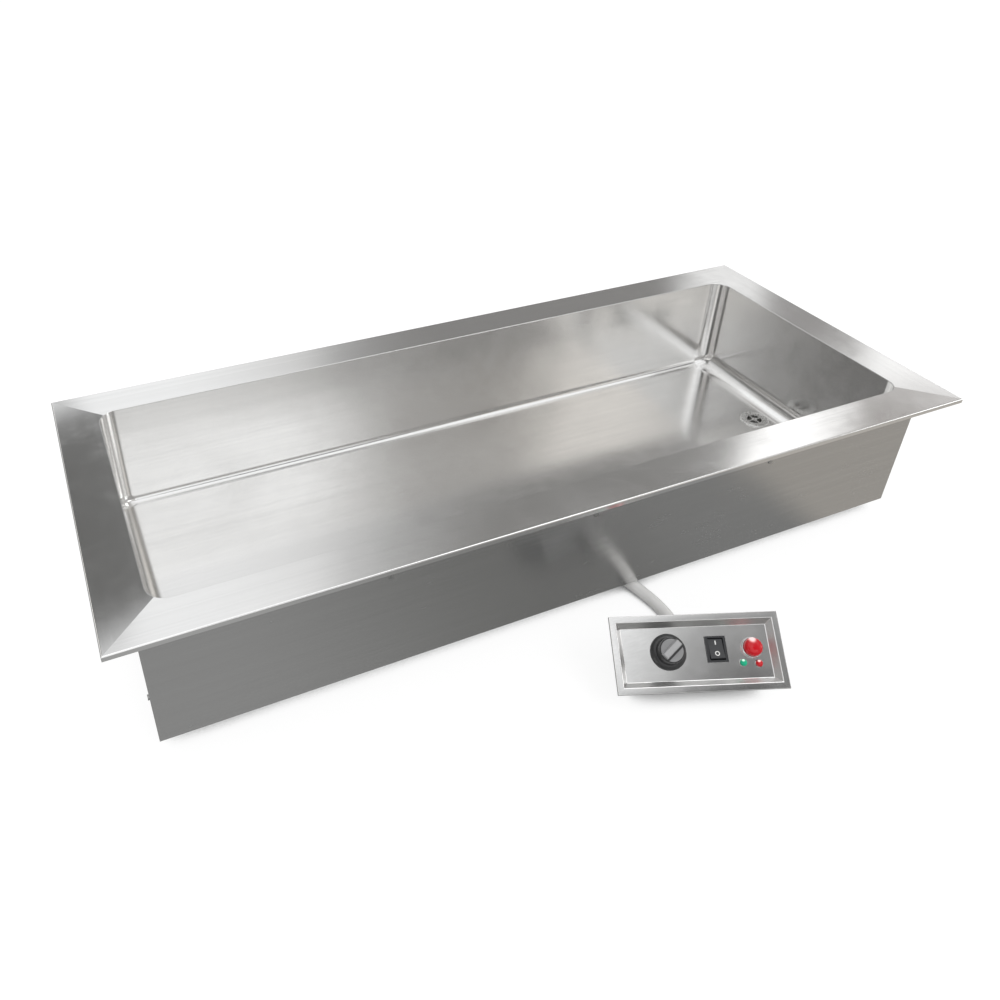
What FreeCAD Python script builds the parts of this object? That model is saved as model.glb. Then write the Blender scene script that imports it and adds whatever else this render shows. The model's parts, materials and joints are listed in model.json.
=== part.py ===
"""Drop-in hot food table: a heated stainless well with a mitred rim, a boxed casing and a loose control box.

Millimetres, +Z up, standing on z = 0.
X runs along the well and Y from the control box to the back of the well.
The origin is the bottom centre of the box round the well and its control box.
"""
import FreeCAD, Part
import math
import os

from FreeCAD import Placement, Rotation, Vector

# Rim and well
RIM_LENGTH = 1200.0
RIM_WIDTH = 510.0
FLANGE = 57.0
RIM_SHEET = 1.5
RIM_LIP = 6.5
RIM_EDGE_RADIUS = 2.0
WELL_DEPTH = 163.0
WELL_CORNER = 25.0
LONG_COVE = 10.0
END_COVE = 26.0
WELL_SHEET = 1.2
RIM_TO_CASING_FOOT = 200.0
STAND = 20.0

# Casing
CASING_SHEET = 1.0
CASING_INSET_X = 35.5
CASING_INSET_Y = 40.0
CASING_FOLD = 12.0
CORNER_LEG = 15.0
BRACKET_WIDTH = 30.0
BRACKET_HEIGHT = 20.0
BRACKET_SHEET = 1.5
RIVET_DROP = 50.0
RIVET_PITCH = 285.0
RIVET_SHIFT = 12.0
END_RIVET_INSET = 105.0
RIVET_RADIUS = 2.0
RIVET_HEAD_RADIUS = 3.2
RIVET_HEAD = 1.2
RIVET_TAIL_RADIUS = 2.6
RIVET_TAIL = 2.0
BRACKET_WEB_RISE = 4.0
COVER_DROP = 27.0
COVER_SHEET = 1.0
COVER_GAP = 0.1
COVER_SCREW_INSET = 65.0
COVER_SCREW = 7.0
SCREW_RADIUS = 1.9
SCREW_HEAD_RADIUS = 3.6
SCREW_HEAD = 2.0

# Feet
FOOT_INSET_X = 94.5
FOOT_INSET_Y = 65.0
FOOT_RADIUS = 18.0
FOOT_TOP_RADIUS = 15.0
FOOT_BOLT_RADIUS = 4.0
FOOT_NUT = 6.5
FOOT_NUT_FLATS = 13.0
BOLT_HEAD_DEPTH = 10.0
BOLT_HEAD = 5.3
THREAD_SPARE = 1.0

# Insulation
WOOL_GAP = 0.2
SIDE_WOOL_HEIGHT = 122.0
BOTTOM_WOOL = 8.0
WOOL_INSET = 22.0
WOOL_CORNER_GAP = 2.0
NUT_ROOM = 1.25

# Heating under the floor
ELEMENT_RADIUS = 4.25
ELEMENT_GAP = 0.1
ELEMENT_INSET_Y = 108.0
ELEMENT_BEND = 40.0
ELEMENT_INSET_LEFT = 103.0
ELEMENT_TO_DRAIN = 62.0
ELEMENT_PIN = 14.0
BAR_INSET = 80.0
BAR_WIDTH = 25.0
BAR_SHEET = 2.0
BAR_END = 22.0
STUD_RADIUS = 3.0
STUD_NUT = 5.0
STUD_NUT_FLATS = 10.0
STUD_SPARE = 1.0
BULB_RADIUS = 3.0
BULB_LENGTH = 120.0
BULB_FROM_MIDDLE = 160.0
CLIP_SHARES = (0.2, 0.8)
CLIP_WIDTH = 12.0
CLIP_SHEET = 1.0
CLIP_FOOT = 7.0
CUTOUT_FROM_MIDDLE = 70.0
CUTOUT_RADIUS = 8.0
CUTOUT_HEIGHT = 9.0
CUTOUT_EAR = 12.0
CUTOUT_EAR_WIDTH = 10.0
CUTOUT_EAR_END = 4.0
CUTOUT_EAR_SHEET = 1.5
SMALL_NUT_FLATS = 7.0

# Drain
DRAIN_INSET = 53.0
DRAIN_FLANGE_RADIUS = 23.0
DRAIN_FLANGE = 1.6
DRAIN_THREAD_RADIUS = 16.6
DRAIN_BORE_RADIUS = 13.0
DRAIN_SEAT_RADIUS = 15.2
DRAIN_SEAT = 1.2
DRAIN_TAIL_GROUND = 6.0
DRAIN_TAIL = 20.0
DRAIN_GROOVE = 2.0
DRAIN_GROOVE_DEPTH = 0.8
DRAIN_CLEARANCE = 0.4
DRAIN_COVER_CLEARANCE = 1.0
DRAIN_LIP_SHARE = 0.6
STRAINER_CLEARANCE = 0.2
STRAINER = 1.0
STRAINER_RING = 3.0
STRAINER_HUB_RADIUS = 4.5
STRAINER_SPOKE = 2.6
GASKET_RADIUS = 24.0
GASKET = 2.0
LOCKNUT_FLATS = 42.0
LOCKNUT = 8.0

# Terminal box under the bottom cover
TERMINAL_X = 100.0
TERMINAL_Y = -72.0
TERMINAL_LENGTH = 104.0
TERMINAL_WIDTH = 70.0
TERMINAL_GROUND = 1.0
TERMINAL_SHEET = 1.2
TERMINAL_TAB = 12.0
TERMINAL_TAB_WIDTH = 30.0
TERMINAL_WINDOW = 60.0
BLOCK_LENGTH = 60.0
BLOCK_WIDTH = 18.0
BLOCK_HEIGHT = 14.0
BLOCK_PITCH = 12.0
BLOCK_SHIFT = 4.0
BLOCK_HOLE_RADIUS = 2.2
BLOCK_HOLE_ROW = 5.0
BLOCK_HOLE = 5.0
TAB_SCREW_INSET = 6.0
EARTH_FROM_END = 10.0
EARTH_SHIFT = 22.0
EARTH_HEIGHT = 14.0
EARTH_NUT_FLATS = 8.0
EARTH_NUT = 4.0
EARTH_RADIUS = 2.5
GLAND_X = 122.0
GLAND_HEIGHT = 14.0
GLAND_BORE_RADIUS = 4.5
GLAND_LENGTH = 22.0

# Conduit and its connectors
CONDUIT_RADIUS = 8.5
CONDUIT_BORE_RADIUS = 6.5
CONNECTOR_X = 88.7
CONNECTOR_HEIGHT = 14.0
CONNECTOR_THREAD_RADIUS = 8.0
CONNECTOR_HEX = 22.0
CONNECTOR_SHOULDER = 4.0
CONNECTOR_FERRULE_RADIUS = 10.5
GLAND_BODY_RADIUS = 9.5
CONNECTOR_NUT = 4.0
CONNECTOR_THREAD = 7.0
ELBOW_RADIUS = 14.0
ELBOW_TUBE_RADIUS = 9.2
THREAD_CLEARANCE = 0.15
RUN_SHARE = 0.45

# Control box, in its own frame: u along the panel, v up the panel, n out of it, the rim of the panel at n = 0
BOX_X = 67.7
BOX_Y = -380.0
BOX_TILT = 33.9
PANEL_WIDTH = 213.0
PANEL_HEIGHT = 94.0
PANEL_SHEET = 1.2
PANEL_LIP = 3.0
PANEL_FLANGE = 8.0
PANEL_SLOPE = 6.5
PANEL_RECESS = 8.0
SHELL_INSET = 2.5
SHELL_SHEET = 1.2
BOX_DEPTH = 50.0
BACK_SHEET = 1.0
BACK_FOLD = 10.0
BACK_SCREW_INSET = 6.0
BACK_SCREW = 6.0
BACK_SCREW_HEAD = 1.0
KNOB_FROM_END = 70.9
CONTROLS_V = 2.6
KNOB_RADIUS = 22.3
KNOB_SKIRT = 5.0
KNOB_SKIRT_TOP_RADIUS = 18.5
KNOB_CAP_RADIUS = 16.5
KNOB_FACE_RADIUS = 15.0
KNOB_HEIGHT = 17.0
KNOB_GRIP = 5.0
KNOB_GRIP_WIDTH = 8.0
KNOB_GRIP_TURN = 40.0
KNOB_GRIP_INSET = 0.5
KNOB_GRIP_ROUND = 1.5
KNOB_GAP = 0.6
SHAFT_RADIUS = 3.0
SHAFT_CLEARANCE = 0.05
SHAFT_IN_KNOB = 12.0
SHAFT_IN_BODY = 14.0
SHAFT_HOLE_CLEARANCE = 1.5
THERMOSTAT_SIDE = 44.0
THERMOSTAT_DEPTH = 28.0
THERMOSTAT_CORNER = 3.0
THERMOSTAT_SCREW = 6.0
THERMOSTAT_BOTTOM_GAP = 0.2
THERMOSTAT_SCREW_U = 14.0
ROCKER_FROM_END = 81.5
ROCKER_V = 3.9
ROCKER_BEZEL_WIDTH = 26.0
ROCKER_BEZEL_HEIGHT = 32.0
ROCKER_BEZEL = 2.0
ROCKER_BODY_WIDTH = 21.5
ROCKER_BODY_HEIGHT = 29.5
ROCKER_BODY_DEPTH = 22.0
ROCKER_PIVOT = 5.0
ROCKER_SWEEP_RADIUS = 13.0
ROCKER_END_HIGH = 22.0
ROCKER_END_LOW = -14.0
ROCKER_FOOT_SHARE = 0.58
ROCKER_BUTTON_DEPTH = 4.0
ROCKER_ROOM = 3.0
ROCKER_DIP = 1.0
ROCKER_BUTTON_WIDTH = 18.6
ROCKER_CLEARANCE = 0.4
ROCKER_ANGLE = 8.0
ROCKER_PIN_RADIUS = 1.2
ROCKER_PIN = 1.0
ROCKER_PIN_CLEARANCE = 0.08
PILOT_FROM_END = 36.5
PILOT_V = 4.2
PILOT_BEZEL_RADIUS = 13.2
PILOT_BEZEL = 2.0
PILOT_LENS_RADIUS = 11.2
PILOT_LENS = 10.0
PILOT_NECK_RADIUS = 7.8
PILOT_NECK = 26.0
PILOT_NUT_FLATS = 19.0
PILOT_NUT = 4.0
LED_FROM_PILOT = (-14.0, 5.5)
LED_V = (-13.6, -15.2)
LED_BEZEL_RADIUS = 5.0
LED_BEZEL = 1.0
LED_LENS_RADIUS = 4.2
LED_NECK_RADIUS = 3.0
LED_NECK = 20.0
LENS_WALL_SHARE = 0.3
HOLE_CLEARANCE = 0.1
# How far a cutting shape runs past what it cuts
PAST = 1.0

# Route of the conduit, from the control box to the well, measured from the middle of the well
CONDUIT_ROUTE = (
    (93.0, -325.0, 11.0),
    (102.8, -298.8, 11.0),
    (107.2, -271.1, 9.2),
    (105.2, -243.2, 9.0),
    (99.4, -215.8, 9.0),
    (92.6, -188.6, 9.6),
    (88.7, -160.9, 14.0),
    (88.7, -132.9, 14.0),
)

# Levels and half sizes that follow from the values above
RIM_TOP = STAND + RIM_TO_CASING_FOOT
RIM_UNDER = RIM_TOP - RIM_SHEET
FLOOR_TOP = RIM_TOP - WELL_DEPTH
FLOOR_UNDER = FLOOR_TOP - WELL_SHEET
WELL_HALF_X = RIM_LENGTH / 2 - FLANGE
WELL_HALF_Y = RIM_WIDTH / 2 - FLANGE
CASING_HALF_X = RIM_LENGTH / 2 - CASING_INSET_X
CASING_HALF_Y = RIM_WIDTH / 2 - CASING_INSET_Y
INSIDE_X = CASING_HALF_X - CASING_SHEET
INSIDE_Y = CASING_HALF_Y - CASING_SHEET
COVER_TOP = FLOOR_TOP - COVER_DROP + COVER_SHEET
COVER_UNDER = FLOOR_TOP - COVER_DROP
RIVET_LEVEL = RIM_TOP - RIVET_DROP
END_RIVET_Y = CASING_HALF_Y - END_RIVET_INSET
COVER_SCREW_Y = CASING_HALF_Y - COVER_SCREW_INSET
FOOT_X = CASING_HALF_X - FOOT_INSET_X
FOOT_Y = CASING_HALF_Y - FOOT_INSET_Y
DRAIN_X = WELL_HALF_X - DRAIN_INSET
ELEMENT_Y = WELL_HALF_Y - ELEMENT_INSET_Y
ELEMENT_LEFT = ELEMENT_INSET_LEFT - WELL_HALF_X
ELEMENT_RIGHT = DRAIN_X - ELEMENT_TO_DRAIN
ELEMENT_MIDDLE = (ELEMENT_LEFT + ELEMENT_RIGHT) / 2
BAR_X = (ELEMENT_LEFT + BAR_INSET, ELEMENT_MIDDLE, ELEMENT_RIGHT - BAR_INSET)
BULB_X = ELEMENT_MIDDLE + BULB_FROM_MIDDLE
CUTOUT_X = ELEMENT_MIDDLE + CUTOUT_FROM_MIDDLE
KNOB_U = KNOB_FROM_END - PANEL_WIDTH / 2
ROCKER_U = PANEL_WIDTH / 2 - ROCKER_FROM_END
PILOT_U = PANEL_WIDTH / 2 - PILOT_FROM_END
LED_U = [PILOT_U + shift for shift in LED_FROM_PILOT]
BAR_TOP = FLOOR_UNDER - 2 * (ELEMENT_RADIUS + ELEMENT_GAP)
PANEL_FLOOR = -PANEL_RECESS
PANEL_REAR = PANEL_FLOOR - PANEL_SHEET
SHELL_HALF_U = PANEL_WIDTH / 2 - PANEL_FLANGE - PANEL_SLOPE - SHELL_INSET
SHELL_HALF_V = PANEL_HEIGHT / 2 - PANEL_FLANGE - PANEL_SLOPE - SHELL_INSET
TILT_SIN = math.sin(math.radians(BOX_TILT))
TILT_COS = math.cos(math.radians(BOX_TILT))
# The back of the box stands on its lower edge, so that edge sets the height of the panel
BOX_Z = BOX_DEPTH * TILT_COS + SHELL_HALF_V * TILT_SIN
# The control box faces against the first run of the conduit, seen from above
ROUTE_START = CONDUIT_ROUTE[0]
YAW = math.atan2(CONDUIT_ROUTE[1][0] - ROUTE_START[0], CONDUIT_ROUTE[1][1] - ROUTE_START[1])
# The box's connector bends from its tilted back to the level of the conduit and ends where the conduit starts
ELBOW_U = (ROUTE_START[0] - BOX_X) * math.cos(YAW) - (ROUTE_START[1] - BOX_Y) * math.sin(YAW)
ELBOW_RISE = (ROUTE_START[2] + ELBOW_RADIUS + CONNECTOR_SHOULDER * TILT_COS) / TILT_SIN
ELBOW_V = ELBOW_RISE - ELBOW_RADIUS - SHELL_HALF_V
ELBOW_REACH = (
    (ELBOW_V + ELBOW_RADIUS * (1 - TILT_SIN)) * TILT_COS
    + (BOX_DEPTH + CONNECTOR_SHOULDER + ELBOW_RADIUS * TILT_COS) * TILT_SIN
)
ROUTE_REACH = (ROUTE_START[0] - BOX_X) * math.sin(YAW) + (ROUTE_START[1] - BOX_Y) * math.cos(YAW)
BOX_FERRULE = ROUTE_REACH - ELBOW_REACH
# The well's connector ends where the conduit does
WELL_FERRULE = TERMINAL_Y - TERMINAL_WIDTH / 2 - CONNECTOR_SHOULDER - CONDUIT_ROUTE[-1][1]
# The well stands behind the origin by half of what the control box adds in front
BOX_FRONT = BOX_Y - PANEL_WIDTH / 2 * math.sin(YAW) - PANEL_HEIGHT / 2 * math.cos(YAW) * TILT_COS
WELL_Y = -(RIM_WIDTH / 2 + BOX_FRONT) / 2


def block(x0, x1, y0, y1, z0, z1):
    """A box between two corners."""
    return Part.makeBox(x1 - x0, y1 - y0, z1 - z0, Vector(x0, y0, z0))


def rod(radius, x, y, z0, z1):
    """An upright cylinder."""
    return Part.makeCylinder(radius, z1 - z0, Vector(x, y, z0))


def rod_along(radius, start, direction, length):
    """A cylinder from a point along a direction."""
    return Part.makeCylinder(radius, length, Vector(*start), Vector(*direction))


def cone(radius0, radius1, x, y, z0, z1):
    """An upright cone."""
    return Part.makeCone(radius0, radius1, z1 - z0, Vector(x, y, z0))


def prism(points, z0, z1):
    """An upright prism over a closed outline of (x, y) points."""
    corners = [Vector(x, y, z0) for x, y in points]
    wire = Part.makePolygon(corners + corners[:1])
    return Part.Face(wire).extrude(Vector(0, 0, z1 - z0))


def hexagon(flats, x, y, z0, z1):
    """A hexagonal prism, given the distance across its flats."""
    radius = flats / math.sqrt(3)
    angles = [math.radians(60 * k) for k in range(6)]
    return prism([(x + radius * math.cos(a), y + radius * math.sin(a)) for a in angles], z0, z1)


def nut(flats, bore, x, y, z0, z1):
    """A hexagon nut."""
    return hexagon(flats, x, y, z0, z1).cut(rod(bore, x, y, z0 - 1, z1 + 1))


def rounded(half_x, half_y, radius, z0, z1):
    """An upright prism over a rectangle with round corners."""
    solid = block(-half_x, half_x, -half_y, half_y, z0, z1)
    return solid.makeFillet(radius, [e for e in solid.Edges if e.BoundBox.ZLength > (z1 - z0) / 2])


def trough(half_x, half_y, grown, z0, z1):
    """A block with round upright corners, a small cove along its long sides and a larger one at its ends."""
    sketchpad = FreeCAD.newDocument("trough")
    solid = sketchpad.addObject("Part::Feature", "solid")
    solid.Shape = block(-half_x, half_x, -half_y, half_y, z0, z1)
    rounding = sketchpad.addObject("Part::Fillet", "rounding")
    rounding.Base = solid
    radii = []
    for number, edge in enumerate(solid.Shape.Edges, 1):
        box = edge.BoundBox
        if box.ZLength > (z1 - z0) / 2:
            radii.append((number, WELL_CORNER + grown, WELL_CORNER + grown))
        elif box.ZMax < z0 + 0.01:
            radius = (LONG_COVE if box.XLength > box.YLength else END_COVE) + grown
            radii.append((number, radius, radius))
    rounding.Edges = radii
    sketchpad.recompute()
    shape = rounding.Shape.Solids[0].copy()
    FreeCAD.closeDocument(sketchpad.Name)
    return shape


def frustum(half_u0, half_v0, n0, half_u1, half_v1, n1):
    """A solid between two level rectangles."""
    wires = []
    for half_u, half_v, n in ((half_u0, half_v0, n0), (half_u1, half_v1, n1)):
        corners = ((-half_u, -half_v), (half_u, -half_v), (half_u, half_v), (-half_u, half_v))
        points = [Vector(u, v, n) for u, v in corners]
        wires.append(Part.makePolygon(points + points[:1]))
    return Part.makeLoft(wires, True, True)


def group(solids):
    """Separate solids that share one node."""
    return Part.makeCompound(solids)


def well_nodes():
    """The pressed well, with its drain hole."""
    skin = trough(WELL_HALF_X + WELL_SHEET, WELL_HALF_Y + WELL_SHEET, WELL_SHEET, FLOOR_UNDER, RIM_UNDER)
    inside = trough(WELL_HALF_X, WELL_HALF_Y, 0, FLOOR_TOP, RIM_TOP)
    hole = rod(DRAIN_THREAD_RADIUS + DRAIN_CLEARANCE, DRAIN_X, 0, FLOOR_UNDER - PAST, FLOOR_TOP + PAST)
    return {"well": skin.cut(inside).cut(hole)}


def rim_nodes():
    """Four flange strips, mitred at the corners, each with its edge turned down."""
    half_x = RIM_LENGTH / 2
    half_y = RIM_WIDTH / 2
    slab = block(-half_x, half_x, -half_y, half_y, RIM_TOP - RIM_LIP, RIM_TOP)
    edges = [e for e in slab.Edges if e.BoundBox.ZMin > RIM_TOP - RIM_SHEET / 2]
    slab = slab.makeFillet(RIM_EDGE_RADIUS, edges)
    under = block(
        RIM_SHEET - half_x, half_x - RIM_SHEET, RIM_SHEET - half_y, half_y - RIM_SHEET,
        RIM_TOP - RIM_LIP - PAST, RIM_UNDER
    )
    mouth = rounded(WELL_HALF_X, WELL_HALF_Y, WELL_CORNER, RIM_TOP - RIM_LIP - PAST, RIM_TOP + PAST)
    ring = slab.cut(under).cut(mouth)
    far_x = half_x + PAST
    far_y = half_y + PAST
    ridge = half_x - half_y
    outlines = {
        "rim_front": ((-far_x, -far_y), (far_x, -far_y), (ridge, 0), (-ridge, 0)),
        "rim_back": ((far_x, far_y), (-far_x, far_y), (-ridge, 0), (ridge, 0)),
        "rim_left": ((-far_x, far_y), (-far_x, -far_y), (-ridge, 0)),
        "rim_right": ((far_x, -far_y), (far_x, far_y), (ridge, 0)),
    }
    return {name: ring.common(prism(points, 0, RIM_TOP + PAST)) for name, points in outlines.items()}


def rivet_places():
    """Where the casing is riveted to its brackets: (x, y, outward direction)."""
    places = []
    for step in (-1, 0, 1):
        x = RIVET_SHIFT + step * RIVET_PITCH
        places.append((x, -CASING_HALF_Y, (0, -1, 0)))
        places.append((x, CASING_HALF_Y, (0, 1, 0)))
    for y in (-END_RIVET_Y, END_RIVET_Y):
        places.append((-CASING_HALF_X, y, (-1, 0, 0)))
        places.append((CASING_HALF_X, y, (1, 0, 0)))
    return places


def cover_screw_places():
    """Where the bottom cover is screwed through the casing's ends: (x, y, outward direction)."""
    places = []
    for y in (-COVER_SCREW_Y, 0, COVER_SCREW_Y):
        places.append((-CASING_HALF_X, y, (-1, 0, 0)))
        places.append((CASING_HALF_X, y, (1, 0, 0)))
    return places


def along(place, distance, level):
    """A point at a level, a distance inwards from a place on the casing's outside."""
    x, y, out = place
    return (x - out[0] * distance, y - out[1] * distance, level)


def casing_nodes():
    """Four casing panels folded in at the top and the bottom, their corner angles, brackets and rivets."""
    top = RIM_UNDER
    fold = CASING_FOLD
    nodes = {}
    for name, side in (("casing_front", -1), ("casing_back", 1)):
        outer = side * CASING_HALF_Y
        inner = side * INSIDE_Y
        folded = side * (INSIDE_Y - fold)
        plate = block(-CASING_HALF_X, CASING_HALF_X, min(outer, inner), max(outer, inner), STAND, top)
        for z0, z1 in ((STAND, STAND + CASING_SHEET), (top - CASING_SHEET, top)):
            plate = plate.fuse(block(-INSIDE_X, INSIDE_X, min(inner, folded), max(inner, folded), z0, z1))
        nodes[name] = plate.removeSplitter()
    for name, side in (("casing_left", -1), ("casing_right", 1)):
        outer = side * CASING_HALF_X
        inner = side * INSIDE_X
        folded = side * (INSIDE_X - fold)
        plate = block(min(outer, inner), max(outer, inner), -INSIDE_Y, INSIDE_Y, STAND, top)
        reach = INSIDE_Y - fold
        for z0, z1 in ((STAND, STAND + CASING_SHEET), (top - CASING_SHEET, top)):
            plate = plate.fuse(block(min(inner, folded), max(inner, folded), -reach, reach, z0, z1))
        nodes[name] = plate.removeSplitter()
    holes = [
        rod_along(
            RIVET_RADIUS + HOLE_CLEARANCE, along(p, -PAST, RIVET_LEVEL), [-c for c in p[2]],
            CASING_SHEET + 2 * PAST
        )
        for p in rivet_places()
    ]
    cover_level = (STAND + COVER_UNDER) / 2
    holes += [
        rod_along(
            SCREW_RADIUS + HOLE_CLEARANCE, along(p, -PAST, cover_level), [-c for c in p[2]],
            CASING_SHEET + PAST
        )
        for p in cover_screw_places()
    ]
    for name in list(nodes):
        for hole in holes:
            nodes[name] = nodes[name].cut(hole)
    corners = []
    for sx in (-1, 1):
        for sy in (-1, 1):
            x0, x1 = sorted((sx * INSIDE_X, sx * (INSIDE_X - CORNER_LEG)))
            y0, y1 = sorted((sy * INSIDE_Y, sy * (INSIDE_Y - CORNER_LEG)))
            leg = block(x0, x1, y0, y1, COVER_TOP, top - CASING_SHEET)
            x0, x1 = sorted((sx * (INSIDE_X - CASING_SHEET), sx * (INSIDE_X - CORNER_LEG - PAST)))
            y0, y1 = sorted((sy * (INSIDE_Y - CASING_SHEET), sy * (INSIDE_Y - CORNER_LEG - PAST)))
            corners.append(leg.cut(block(x0, x1, y0, y1, COVER_TOP - PAST, top)))
    nodes["casing_corners"] = group(corners)
    nodes.update(bracket_nodes())
    return nodes


def bracket_nodes():
    """The brackets that hold the casing off the well, and the rivets that show under the rim."""
    brackets = []
    rivets = []
    half = BRACKET_WIDTH / 2
    low = RIVET_LEVEL - BRACKET_HEIGHT / 2
    high = RIVET_LEVEL + BRACKET_HEIGHT / 2
    web_low = RIVET_LEVEL + BRACKET_WEB_RISE
    for place in rivet_places():
        x, y, out = place
        across = WELL_HALF_X if out[0] else WELL_HALF_Y
        inside = INSIDE_X if out[0] else INSIDE_Y
        gap = inside - across - WELL_SHEET
        web = block(-half, half, 0, gap, web_low, web_low + BRACKET_SHEET)
        solid = web.fuse(block(-half, half, 0, BRACKET_SHEET, low, high))
        solid = solid.fuse(block(-half, half, gap - BRACKET_SHEET, gap, low, high)).removeSplitter()
        solid = solid.cut(
            rod_along(
                RIVET_RADIUS + HOLE_CLEARANCE, (0, -PAST, RIVET_LEVEL), (0, 1, 0), BRACKET_SHEET + 2 * PAST
            )
        )
        turn = math.degrees(math.atan2(-out[1], -out[0])) - 90
        solid.Placement = Placement(Vector(*along(place, CASING_SHEET, 0)), Rotation(Vector(0, 0, 1), turn))
        brackets.append(solid)
        inward = [-c for c in out]
        thick = CASING_SHEET + BRACKET_SHEET
        rivet = rod_along(RIVET_RADIUS, along(place, 0, RIVET_LEVEL), inward, thick + RIVET_TAIL)
        head = rod_along(RIVET_HEAD_RADIUS, along(place, -RIVET_HEAD, RIVET_LEVEL), inward, RIVET_HEAD)
        rivet = rivet.fuse(head)
        rivet = rivet.fuse(rod_along(RIVET_TAIL_RADIUS, along(place, thick, RIVET_LEVEL), inward, RIVET_TAIL))
        rivets.append(rivet.removeSplitter())
    return {"casing_brackets": group(brackets), "casing_rivets": group(rivets)}


def cover_nodes():
    """The bottom cover, a shallow tray that stands on the casing's folds, and its screws."""
    half_x = INSIDE_X - COVER_GAP
    half_y = INSIDE_Y - COVER_GAP
    tray = block(-half_x, half_x, -half_y, half_y, STAND + CASING_SHEET, COVER_TOP)
    tray = tray.cut(
        block(
            COVER_SHEET - half_x, half_x - COVER_SHEET, COVER_SHEET - half_y, half_y - COVER_SHEET,
            0, COVER_UNDER
        )
    )
    tray = tray.cut(rod(DRAIN_THREAD_RADIUS + DRAIN_COVER_CLEARANCE, DRAIN_X, 0, 0, COVER_TOP + PAST))
    for x, y in foot_places():
        tray = tray.cut(rod(FOOT_BOLT_RADIUS + HOLE_CLEARANCE, x, y, 0, COVER_TOP + PAST))
    half_window = TERMINAL_WINDOW / 2
    tray = tray.cut(
        block(
            TERMINAL_X - half_window, TERMINAL_X + half_window, TERMINAL_Y - half_window / 2,
            TERMINAL_Y + half_window / 2, 0, COVER_TOP + PAST
        )
    )
    for x, y in terminal_screw_places():
        tray = tray.cut(rod(SCREW_RADIUS + HOLE_CLEARANCE, x, y, 0, COVER_TOP + PAST))
    level = (STAND + COVER_UNDER) / 2
    screws = []
    for place in cover_screw_places():
        inward = [-c for c in place[2]]
        hole = rod_along(SCREW_RADIUS + HOLE_CLEARANCE, along(place, -PAST, level), inward, COVER_SCREW)
        tray = tray.cut(hole)
        screw = rod_along(SCREW_RADIUS, along(place, 0, level), inward, COVER_SCREW)
        screw = screw.fuse(rod_along(SCREW_HEAD_RADIUS, along(place, -SCREW_HEAD, level), inward, SCREW_HEAD))
        screws.append(screw.removeSplitter())
    return {"bottom_cover": tray, "cover_screws": group(screws)}


def foot_places():
    """Where the feet stand: (x, y)."""
    return [(sx * FOOT_X, sy * FOOT_Y) for sx in (-1, 1) for sy in (-1, 1)]


def foot_nodes():
    """Four low feet, the bolts that hold them to the bottom cover, and their nuts."""
    feet = []
    bolts = []
    nuts = []
    for x, y in foot_places():
        foot = cone(FOOT_RADIUS, FOOT_TOP_RADIUS, x, y, 0, COVER_UNDER)
        foot = foot.cut(rod(FOOT_BOLT_RADIUS + HOLE_CLEARANCE, x, y, -PAST, COVER_UNDER + PAST))
        feet.append(foot.cut(rod(FOOT_NUT_FLATS * NUT_ROOM / 2, x, y, -PAST, BOLT_HEAD_DEPTH)))
        bolt = rod(FOOT_BOLT_RADIUS, x, y, BOLT_HEAD_DEPTH, COVER_TOP + FOOT_NUT + THREAD_SPARE)
        head = hexagon(FOOT_NUT_FLATS, x, y, BOLT_HEAD_DEPTH - BOLT_HEAD, BOLT_HEAD_DEPTH)
        bolts.append(bolt.fuse(head).removeSplitter())
        nuts.append(nut(FOOT_NUT_FLATS, FOOT_BOLT_RADIUS, x, y, COVER_TOP, COVER_TOP + FOOT_NUT))
    return {"feet": group(feet), "foot_bolts": group(bolts), "foot_nuts": group(nuts)}


def wool_nodes():
    """Mineral wool boards round the well and under its floor."""
    low = COVER_TOP
    high = COVER_TOP + SIDE_WOOL_HEIGHT
    skin_x = WELL_HALF_X + WELL_SHEET + WOOL_GAP
    skin_y = WELL_HALF_Y + WELL_SHEET + WOOL_GAP
    end_x = INSIDE_X - WOOL_GAP
    end_y = INSIDE_Y - WOOL_GAP
    reach_x = INSIDE_X - CORNER_LEG - WOOL_CORNER_GAP
    reach_y = skin_y - WOOL_CORNER_GAP
    boards = []
    for side in (-1, 1):
        y0, y1 = sorted((side * skin_y, side * end_y))
        boards.append(block(-reach_x, reach_x, y0, y1, low, high))
        x0, x1 = sorted((side * skin_x, side * end_x))
        boards.append(block(x0, x1, -reach_y, reach_y, low, high))
    mat_x = WELL_HALF_X - WOOL_INSET
    mat_y = WELL_HALF_Y - WOOL_INSET
    mat = block(-mat_x, mat_x, -mat_y, mat_y, low, low + BOTTOM_WOOL)
    for x, y in foot_places():
        mat = mat.cut(rod(FOOT_NUT_FLATS, x, y, low - PAST, low + BOTTOM_WOOL + PAST))
    mat = mat.cut(rod(LOCKNUT_FLATS * NUT_ROOM / 2, DRAIN_X, 0, low - PAST, low + BOTTOM_WOOL + PAST))
    half_x = TERMINAL_LENGTH / 2 + TERMINAL_TAB
    half_y = TERMINAL_WIDTH / 2
    mat = mat.cut(
        block(
            TERMINAL_X - half_x, TERMINAL_X + half_x, TERMINAL_Y - half_y, TERMINAL_Y + half_y,
            low - PAST, low + BOTTOM_WOOL + PAST
        )
    )
    return {"side_insulation": group(boards), "bottom_insulation": mat}


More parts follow.
